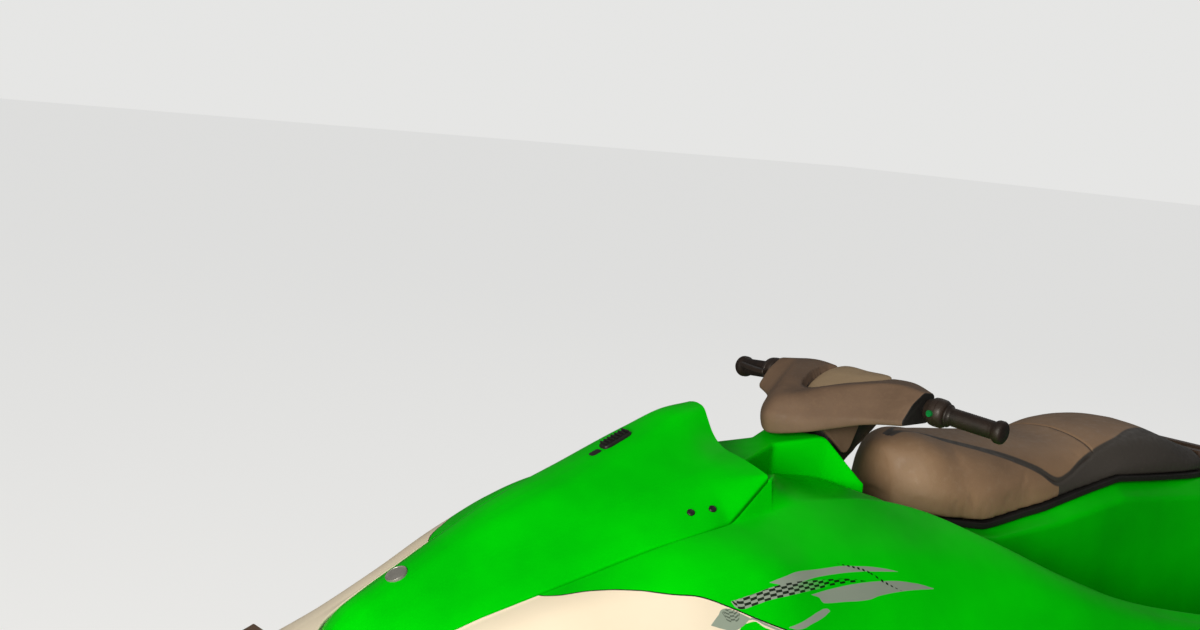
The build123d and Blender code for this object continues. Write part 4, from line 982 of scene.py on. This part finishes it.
def makeBumper():
    share = np.linspace(0, 1, 60)
    outer, inner = alongLine(bumper["outer"], share), alongLine(bumper["inner"], share)
    outer = np.concatenate([outer, outer[-2::-1] * (1, -1)])
    inner = np.concatenate([inner, inner[-2::-1] * (1, -1)])
    reach = np.linalg.norm(outer - inner, axis=1)
    out = (outer - inner) / reach[:, None]
    low, top, r = bumper["low"], bumper["top"], bumper["round"]
    groove = [(reach + deep, z) for deep, z in bumper["groove"]]
    below = [(0, low), (reach - r, low), (reach, low + r)]
    above = [(reach, top - r), (reach - r, top), (0, top)]
    loop = roundedRun(section(reach, *below, *groove, *above), bumper["radii"], 5, 2)
    plan = inner[:, None] + out[:, None] * loop[:, :, :1]
    piece = stacked("bowBumper", np.concatenate([plan, loop[:, :, 1:]], axis=2))
    dress(piece, "hull", "padFoam", ["bow_bumper"], "taupe_rubber")


makeRail(1, "railPort", "rail_port")
makeRail(-1, "railStarboard", "rail_starboard")
makeBumper()
print("hull, deck and hood dressed")


# steering tower: half width in plan and height in profile, then the column's well sunk into it
lean = math.radians(18)
columnAxis = np.array((-math.sin(lean), 0, math.cos(lean)))
columnPoint = np.array((262, 0, 660.0))
tower = {
    "plan": ([254, 325, 430, 566], [130, 80, 35, 88]),
    "profile": ([254, 325, 345, 430, 566], [618, 708, 706, 690, 668]),
    "foot": 560,
    "well": 94.5,
}
display = {
    "side": [(604, 600), (604, 684), (569, 666), (569, 596)],
    "half": 56,
    "screen": (44, 28),
    "screenPlace": (568, 0, 634),
}


def makeTower():
    x = np.unique(np.concatenate([spread(566, 254, 4), [325, 430]]))[::-1]
    soft = [-5, 0, 5]
    w = np.mean([np.interp(x + k, *tower["plan"]) for k in soft], axis=0)
    z = np.mean([np.interp(x + k, *tower["profile"]) for k in soft], axis=0)
    corners = section(x, (0, tower["foot"]), (w, tower["foot"]), (w, z), (0, z))
    half = roundedRun(corners, [0, 0, 9, 0], 6, [4, 8, 8], [0, 0, 0.01])
    piece = mirroredLoft("steeringTower", x, half, 24)
    start = columnPoint - 14 * columnAxis
    cutter = turnedAlong("well", start, columnAxis, [(0, tower["well"]), (160, tower["well"])], 48)
    cut = piece.modifiers.new("well", "BOOLEAN")
    cut.object = cutter
    cut.solver = "EXACT"
    applied(piece)
    bpy.data.objects.remove(cutter)
    softenEdges(piece, 2.5, 3, 32)
    return piece


dress(makeTower(), "hull", "greenCoat", ["steering_tower"], "green")
pod = slab("displayPod", display["side"], 2 * display["half"], (0, 0, 0), (1, 0, 0), (0, 0, 1), 7)
dress(pod, "hull", "hardBlack", ["display"], "black_plastic")
outline = rectangle(*display["screen"])
screen = slab("displayScreen", outline, 3, display["screenPlace"], (0, 1, 0), (0, 0, 1), 1)
dress(screen, "hull", "screenGlass", (), "black_plastic")


# handlebar pad: outlines of x and z across the craft, from the low front edge over the top
pad = {
    "rows": [
        # y, then the outline's six corners
        (0, 418, 703, 427, 742, 398, 786, 345, 796, 148, 820, 148, 790),
        (60, 385, 714, 388, 742, 354, 787, 318, 812, 146, 827, 148, 788),
        (150, 286, 746, 289, 758, 254, 796, 217, 831, 146, 831, 158, 772),
        (216, 252, 756, 254, 765, 229, 800, 196, 824, 162, 821, 172, 760),
    ],
    "radii": [10, 14, 34, 26, 14, 14],
    "tighter": ([70, 130], [1, 0.25]),  # share of the top corners' radii over y
    "ends": ([211, 214.5, 216], [1, 0.985, 0.95]),  # half breadths at the ends, and the outline's share
    "step": 5,
    "fin": [(338, 722), (338, 740), (224, 748), (224, 728), (244, 682), (254, 670), (264, 670), (300, 700),
            (325, 718)],
    "finPlace": 67.5,
    "inset": [(310, 0), (304, 16), (288, 30), (238, 60), (200, 75), (172, 81), (146, 75), (138, 0)],
    "insetMiddle": (205, 0),
    "insetLine": ([134, 312], [829, 783]),
    "insetRings": [(0.985, -7), (1, -3), (1, 0), (0.985, 1.6), (0.95, 2.6), (0.85, 4), (0.6, 6), (0.3, 7),
                   (0.01, 7.2)],  # share of the outline and lift
}


def insetOutline():
    half = np.array(pad["inset"], float)
    return np.concatenate([half, half[-2:0:-1] * (1, -1)])


def insetReach(x, y):
    # signed distance in mm, positive inside the inset's outline, from its nearest side
    outline = insetOutline()
    after = np.roll(outline, -1, axis=0)
    step = after - outline
    point = np.stack([x, y], axis=-1)[:, None]
    share = np.clip(((point - outline) * step).sum(-1) / (step**2).sum(-1), 0, 1)
    distance = np.linalg.norm(point - outline - share[..., None] * step, axis=-1).min(axis=1)
    crossing = (outline[:, 1] > y[:, None]) != (after[:, 1] > y[:, None])
    rise = np.where(np.abs(step[:, 1]) < 1e-9, 1e-9, step[:, 1])
    reach = outline[:, 0] + (y[:, None] - outline[:, 1]) * step[:, 0] / rise
    inside = (crossing & (x[:, None] < reach)).sum(axis=1) % 2 == 1
    return np.where(inside, distance, -distance)


def makePad():
    rows = [(-row[0], *row[1:]) for row in pad["rows"][:0:-1]] + pad["rows"]
    ends, endShares = pad["ends"]
    inner = ends[0] - pad["step"]
    y = np.concatenate([-np.array(ends[::-1]), spread(-inner, inner, pad["step"]), ends])
    corners = smoothRows(rows, y).reshape(len(y), 6, 2)
    middle = corners.mean(axis=1, keepdims=True)
    shrink = np.interp(np.abs(y), ends, endShares)[:, None, None]
    radii = np.tile(np.array(pad["radii"], float), (len(y), 1))
    radii[:, 2:4] *= np.interp(np.abs(y), *pad["tighter"])[:, None]
    loop = roundedRun(middle + (corners - middle) * shrink, radii, 7, [4, 6, 8, 26, 4, 24], None, True)
    grid = np.stack([loop[..., 0], np.broadcast_to(y[:, None], loop.shape[:2]), loop[..., 1]], axis=-1)
    piece = stacked("handlebarPad", grid)
    points = readPoints(piece.data)
    reach = insetReach(points[:, 0], points[:, 1])
    line = np.interp(points[:, 0], *pad["insetLine"])
    dip = np.clip((reach + 9) / 5, 0, 1) * (points[:, 2] > line - 30)  # a bed 6 mm deep for the inset
    points[:, 2] = points[:, 2] * (1 - dip) + np.minimum(points[:, 2], line - 6) * dip
    writePoints(piece.data, points)
    piece.data.materials.append(materials["padFoam"])
    piece.data.materials.append(materials["softBlack"])
    middles = np.empty(len(piece.data.polygons) * 3)
    piece.data.polygons.foreach_get("center", middles)
    x, y, z = middles.reshape(-1, 3).T * 1000
    # both ends are dark, and the floor of the bed round the inset is painted dark as the shade of its recess
    darkAndShade = (np.abs(y) > ends[1]) | ((insetReach(x, y) > -3.5) & (z > 750))  # both ends and the bed
    piece.data.polygons.foreach_set("material_index", darkAndShade.astype(np.int32))
    piece.data.update()
    return piece


def makeInset():
    # rings of the outline drawn in towards its middle, each at the pad's slope plus a low crown
    outline = insetOutline()
    fine = alongLine(np.concatenate([outline, outline[:1]]), np.linspace(0, 1, 121)[:-1])
    middle = np.array(pad["insetMiddle"])
    rings = []
    for share, lift in pad["insetRings"]:
        flat = middle + (fine - middle) * share
        z = np.interp(flat[:, 0], *pad["insetLine"]) + lift
        rings.append(np.column_stack([flat, z]))
    return stacked("padInset", np.array(rings))


dress(makePad(), "steering", "padFoam", ["handlebar_pad"], "taupe_rubber")
fins = []
for side in (-1, 1):
    fins.append(slab("fin", pad["fin"], 11, (0, side * pad["finPlace"], 0), (1, 0, 0), (0, 0, 1), 4))
    applied(fins[-1])
dress(joined("padFins", fins), "steering", "padFoam", (), "taupe_rubber")
dress(makeInset(), "steering", "insetFoam", ["pad_insert"], "tan_rubber")


# rubber boot round the column: rings that lean back, folded like a bellows, under the pad
boot = {
    "foot": (-8, 54),  # distance along the column and radius
    "head": (98, 82),
    "rake": 34,
    "fold": 0.7,
    "folds": 4,
    "ceiling": (418, 706, 0.313),  # the pad's underside: x, height there and its fall over x
}


def makeBoot():
    share = np.linspace(0, 1, 60)[:, None]
    angle = np.linspace(0, 2 * np.pi, 56, endpoint=False)
    u, v, n = axesFrom(columnAxis, (1, 0, 0))
    along = boot["foot"][0] + share * (boot["head"][0] - boot["foot"][0])
    radius = boot["foot"][1] + share * (boot["head"][1] - boot["foot"][1])
    radius = radius + boot["fold"] * (np.cos(2 * np.pi * boot["folds"] * share) - 1) * np.sin(np.pi * share)
    around = np.cos(angle)[:, None] * u + np.sin(angle)[:, None] * v
    centre = columnPoint + along[..., None] * n - share[..., None] * np.array((boot["rake"], 0, 0))
    grid = centre + radius[..., None] * around
    edgeX, edgeZ, fall = boot["ceiling"]
    grid[..., 2] = np.minimum(grid[..., 2], edgeZ + (edgeX - grid[..., 0]) * fall)
    return stacked("columnBoot", grid, 0)


dress(makeBoot(), "steering", "softBlack", ["column_boot"], "dark_rubber")


# grips, switch housings and throttle lever along each end of the bar
bar = {
    "end": (148, 387, 773),
    "bend": (188, 210, 791),
    "grip": 127,
    "housing": 36,
    # distance along the bar and radius
    "collar": [(0, 12), (0, 22), (1, 23.5), (4, 24), (6, 22.6), (8, 19.6), (12, 18.6)],
    "knob": [(104, 18.4), (108, 19.4), (111, 22), (115, 23.8), (124, 24), (128, 22), (130.5, 18), (131, 0)],
    "ribs": (14, 102, 2.2),
    "box": [(-10, 12), (-10, 21), (-8, 23), (-1, 24), (1.5, 26.8), (5, 29), (12, 30), (17, 30), (17.6, 29.2),
            (18.4, 29.2), (19, 30), (27, 29.5), (32, 27), (35, 23), (36, 19), (36, 12)],
    "lever": [(0, 10), (22, 10), (24, -10), (10, -60), (-4, -96), (-14, -96), (-4, -60), (6, -8), (0, -8)],
    "leverRoot": (26, 0, 0),
}


def makeControls():
    for side, label in ((1, "Port"), (-1, "Starboard")):
        flip = np.array((1, side, 1))
        end, bend = np.array(bar["end"]) * flip, np.array(bar["bend"]) * flip
        out = (end - bend) / np.linalg.norm(end - bend)
        start = end - bar["grip"] * out
        ribs = [(s, 18.2 + 0.8 * (k % 2)) for k, s in enumerate(np.arange(*bar["ribs"]))]
        grip = turnedAlong("grip" + label, start, out, bar["collar"] + ribs + bar["knob"], 44)
        dress(grip, "steering", "gripRubber", ["grip_" + label.lower()], "dark_rubber")
        housing = turnedAlong("housing" + label, start - bar["housing"] * out, out, bar["box"], 44)
        node = "switch_housing" if side > 0 else "throttle_housing"
        dress(housing, "steering", "brownBlack", [node], "black_plastic")
        if side < 0:
            root = start - 0.5 * bar["housing"] * out + bar["leverRoot"]
            lever = slab("throttleLever", bar["lever"], 10, root, (1, 0, 0), (0, 1, 0), 3)
            dress(lever, "steering", "brownBlack", ["throttle_lever"], "black_plastic")


makeControls()
print("steering dressed")


# seat: crowned cushion on the base, blown up a little as cloth, with welts sunk in afterwards
seat = {
    "rows": [
        # x, foot, side, edge: half breadth and height of each, then the top
        (84, 40, 500, 60, 560, 44, 640, 672),
        (40, 110, 480, 118, 570, 90, 655, 690),
        (-60, 160, 470, 160, 580, 118, 655, 686),
        (-250, 174, 480, 168, 590, 126, 648, 676),
        (-460, 176, 500, 176, 600, 136, 646, 671),
        (-590, 176, 540, 186, 620, 148, 668, 691),
        (-740, 174, 560, 186, 624, 150, 670, 692),
        (-870, 166, 560, 172, 612, 138, 640, 652),
        (-940, 150, 560, 156, 606, 120, 626, 634),
    ],
    "pan": 15,
    "radii": [0, 7, 22, 30, 40, 0],
    # voxels of the remesh in mm, the cloth's pressure, stiffness and frames, and the most it moves
    "voxel": 6,
    "pressure": 4,
    "tension": 40,
    "bending": 2,
    "frames": 20,
    "cap": 6,
    "welt": -505,  # x of the welt across the seat
    "weltDepth": 3,
    "weltWidth": 4.5,
    # x, half breadth and height of the top panel's edge
    "panel": [(90, 0, 690), (47, 6, 688), (-33, 50, 682), (-80, 77, 674), (-133, 99, 663), (-205, 120, 647),
              (-287, 146, 620), (-350, 166, 595), (-386, 164, 605), (-443, 150, 628), (-497, 139, 645),
              (-541, 136, 659), (-587, 132, 670), (-657, 113, 683), (-860, 60, 650), (-950, 20, 620)],
    "turn": -350,  # aft of this x the side below the panel's edge gets painted shade
    "front": 60,  # ahead of this x the panel's edge has no band of painted shade
    "ends": ([-84, -82, -78, -72, 926, 933, 938, 940], [0.86, 0.92, 0.97, 1, 1, 0.97, 0.93, 0.88]),
}


def seatSection(x, low, high, grow):
    # the section between two heights over the base, or up to the top where high is None
    footY, footZ, sideY, sideZ, edgeY, edgeZ, top = smoothRows(seat["rows"], x).T
    base = np.interp(x, *zip(*form["base"]))
    footZ = footZ - 20

    def halfAt(lift):
        share = np.clip((base + lift - footZ) / (sideZ - footZ), 0, 1)
        return footY + (sideY - footY) * share + grow

    below = [(0, base + low), (halfAt(low), base + low)]
    if high is None:
        return section(x, *below, (sideY, sideZ), (edgeY, edgeZ), (0.5 * edgeY, top - 4), (0, top))
    return section(x, *below, (halfAt(high), base + high), (0, base + high))


def swell(piece, spec):
    # remesh, let pressure fill the skin for some frames, and cap how far each point has moved
    remesh = piece.modifiers.new("voxels", "REMESH")
    remesh.mode = "VOXEL"
    remesh.voxel_size = spec["voxel"] * mm
    applied(piece)
    start = readPoints(piece.data)
    cloth = piece.modifiers.new("cloth", "CLOTH")
    cloth.settings.use_pressure = True
    cloth.settings.uniform_pressure_force = spec["pressure"]
    cloth.settings.tension_stiffness = spec["tension"]
    cloth.settings.bending_stiffness = spec["bending"]
    cloth.settings.effector_weights.gravity = 0
    cloth.point_cache.frame_start, cloth.point_cache.frame_end = 1, spec["frames"]
    for step in range(1, spec["frames"] + 1):
        scene.frame_set(step)
    graph = bpy.context.evaluated_depsgraph_get()
    moved = readPoints(piece.evaluated_get(graph).data) - start
    length = np.linalg.norm(moved, axis=1, keepdims=True)
    points = start + moved * np.minimum(1, spec["cap"] / np.maximum(length, 1e-6))
    piece.modifiers.clear()
    scene.frame_set(1)
    writePoints(piece.data, points)
    finer = piece.modifiers.new("finer", "SUBSURF")
    finer.levels = finer.render_levels = 1
    applied(piece)


def makeSeat():
    x = np.concatenate([[84, 82, 78], spread(72, -926, 9), [-933, -938, -940]])
    corners = seatSection(x, seat["pan"], None, 0)
    middle = corners[:, [0, -1]].mean(axis=1, keepdims=True)
    shrink = np.interp(-x, *seat["ends"])
    corners = middle + (corners - middle) * shrink[:, None, None]
    half = roundedRun(corners, seat["radii"], 7, [4, 8, 6, 4, 4], [0, 0.02, 0.04, 0.03, 0.0])
    piece = mirroredLoft("seatCushion", x, half, 0)
    swell(piece, seat)
    points = readPoints(piece.data)
    base = np.interp(points[:, 0], *zip(*form["base"])) + seat["pan"]
    points[:, 2] = np.maximum(points[:, 2], base)
    breadth = np.abs(points[:, 1])
    panelY, panelZ = smoothRows(seat["panel"], points[:, 0]).T
    across = np.hypot(breadth - panelY, points[:, 2] - panelZ)
    outside = (breadth > panelY) | (points[:, 2] < panelZ)
    along = np.where(outside, 99, np.abs(points[:, 0] - seat["welt"] - 0.06 * breadth))
    nearest = np.minimum(across, along)
    sink = seat["weltDepth"] * np.exp(-((nearest / seat["weltWidth"]) ** 2))
    onEdge = across < along
    inward = np.stack([0 * base, -np.sign(points[:, 1]) * onEdge, -1 + 0.4 * onEdge], axis=1)
    points += inward * sink[:, None]
    writePoints(piece.data, points)
    # the welt field also sets the painted shade in each welt
    addField(piece.data, "welt", nearest)
    # painted shade: the trim field darkens a band along the panel's edge and, aft of the turn, the whole
    # side below it
    trimShade = np.where(points[:, 0] > seat["turn"], -across, np.where(outside, across, -across))
    addField(piece.data, "trim", np.where(points[:, 0] > seat["front"], -99, trimShade))
    piece.data.polygons.foreach_set("use_smooth", np.ones(len(piece.data.polygons), bool))
    piece.data.update()
    return piece


def makeRim():
    x = spread(84, -940, 12)
    corners = seatSection(x, 1, seat["pan"], 1.5)
    half = roundedRun(corners, [0, 4, 4, 0], 4, [2, 1, 2])
    return mirroredLoft("seatRim", x, half, 30)


def weltShadePaint(tree, tone, patches):
    # painted shade: a dark band along the top panel's edge for the shade in its welt, the side below that
    # edge in painted shade aft, and a darker line of painted shade in each welt
    for attribute, low, high, start, end, darkAndShade in (
        ("trim", 0, 1, -13, -9, linear(66, 62, 58)),
        ("welt", 1, 0, 0.5, 3.5, linear(50, 42, 36)),
    ):
        shadeShare = rampBetween(tree, fieldOf(tree, attribute)["Fac"], low, high, start, end)
        tone = mixTone(tree, shadeShare, tone, darkAndShade)
    return tone


# the seat cover carries painted shade along its welts and on its aft side
materials["seatCover"] = makeMaterial("seatCover", "seatVinyl", weltShadePaint)
dress(makeSeat(), "seat", "seatCover", ["seat_cushion"], "seat_taupe")
dress(makeRim(), "seat", "softBlack", ["seat_pan"], "black_plastic")
print("seat dressed")


# fuel cap with its grip bar
cap = {
    "point": (941, 411, 374),
    "normal": (0.17, 0.945, 0.275),
    "radius": 44,
    "profile": [(1, -14), (1, 3), (0.96, 6), (0.88, 7.5), (0.8, 7), (0.76, 5.5), (0.4, 5.6), (0.01, 5.6)],
    "grip": (30, 7),
}


def makeCap():
    u, v, n = axesFrom(cap["normal"], (1, 0, 0))
    body = raisedDisc("capBody", cap["point"], n, u, (cap["radius"], cap["radius"]), 2, cap["profile"], 64)
    grip = slab("capBar", rectangle(*cap["grip"]), 10, np.array(cap["point"]) + n * 9, u, v, 2.5)
    applied(grip)
    return joined("fuelCap", [body, grip])


dress(makeCap(), "hull", "hardBlack", ["fuel_cap"], "black_plastic")

# CAD pieces that keep their shape get their own finish
kept = {
    "steel": ["hood_hinge", "bow_eye", "stern_eye_port", "stern_eye_starboard", "glove_hinge", "impeller"],
    "alloy": ["pump_housing", "steering_nozzle", "reverse_bucket", "ride_plate", "intake_grate"],
    "castGrey": ["engine_block"],
    "softBlack": ["sponson_port", "sponson_starboard"],
    "hardBlack": ["handlebar", "drain_plugs", "glove_lid"],
    "matFoam": ["mat_port", "mat_starboard", "platform_mat"],
    "brownPlastic": ["grab_handle"],
    "buttonGreen": ["start_button"],
}
for material, nodeNames in kept.items():
    for node in nodeNames:
        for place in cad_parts[node].material_slots:
            place.material = materials[material]
print("CAD pieces finished")
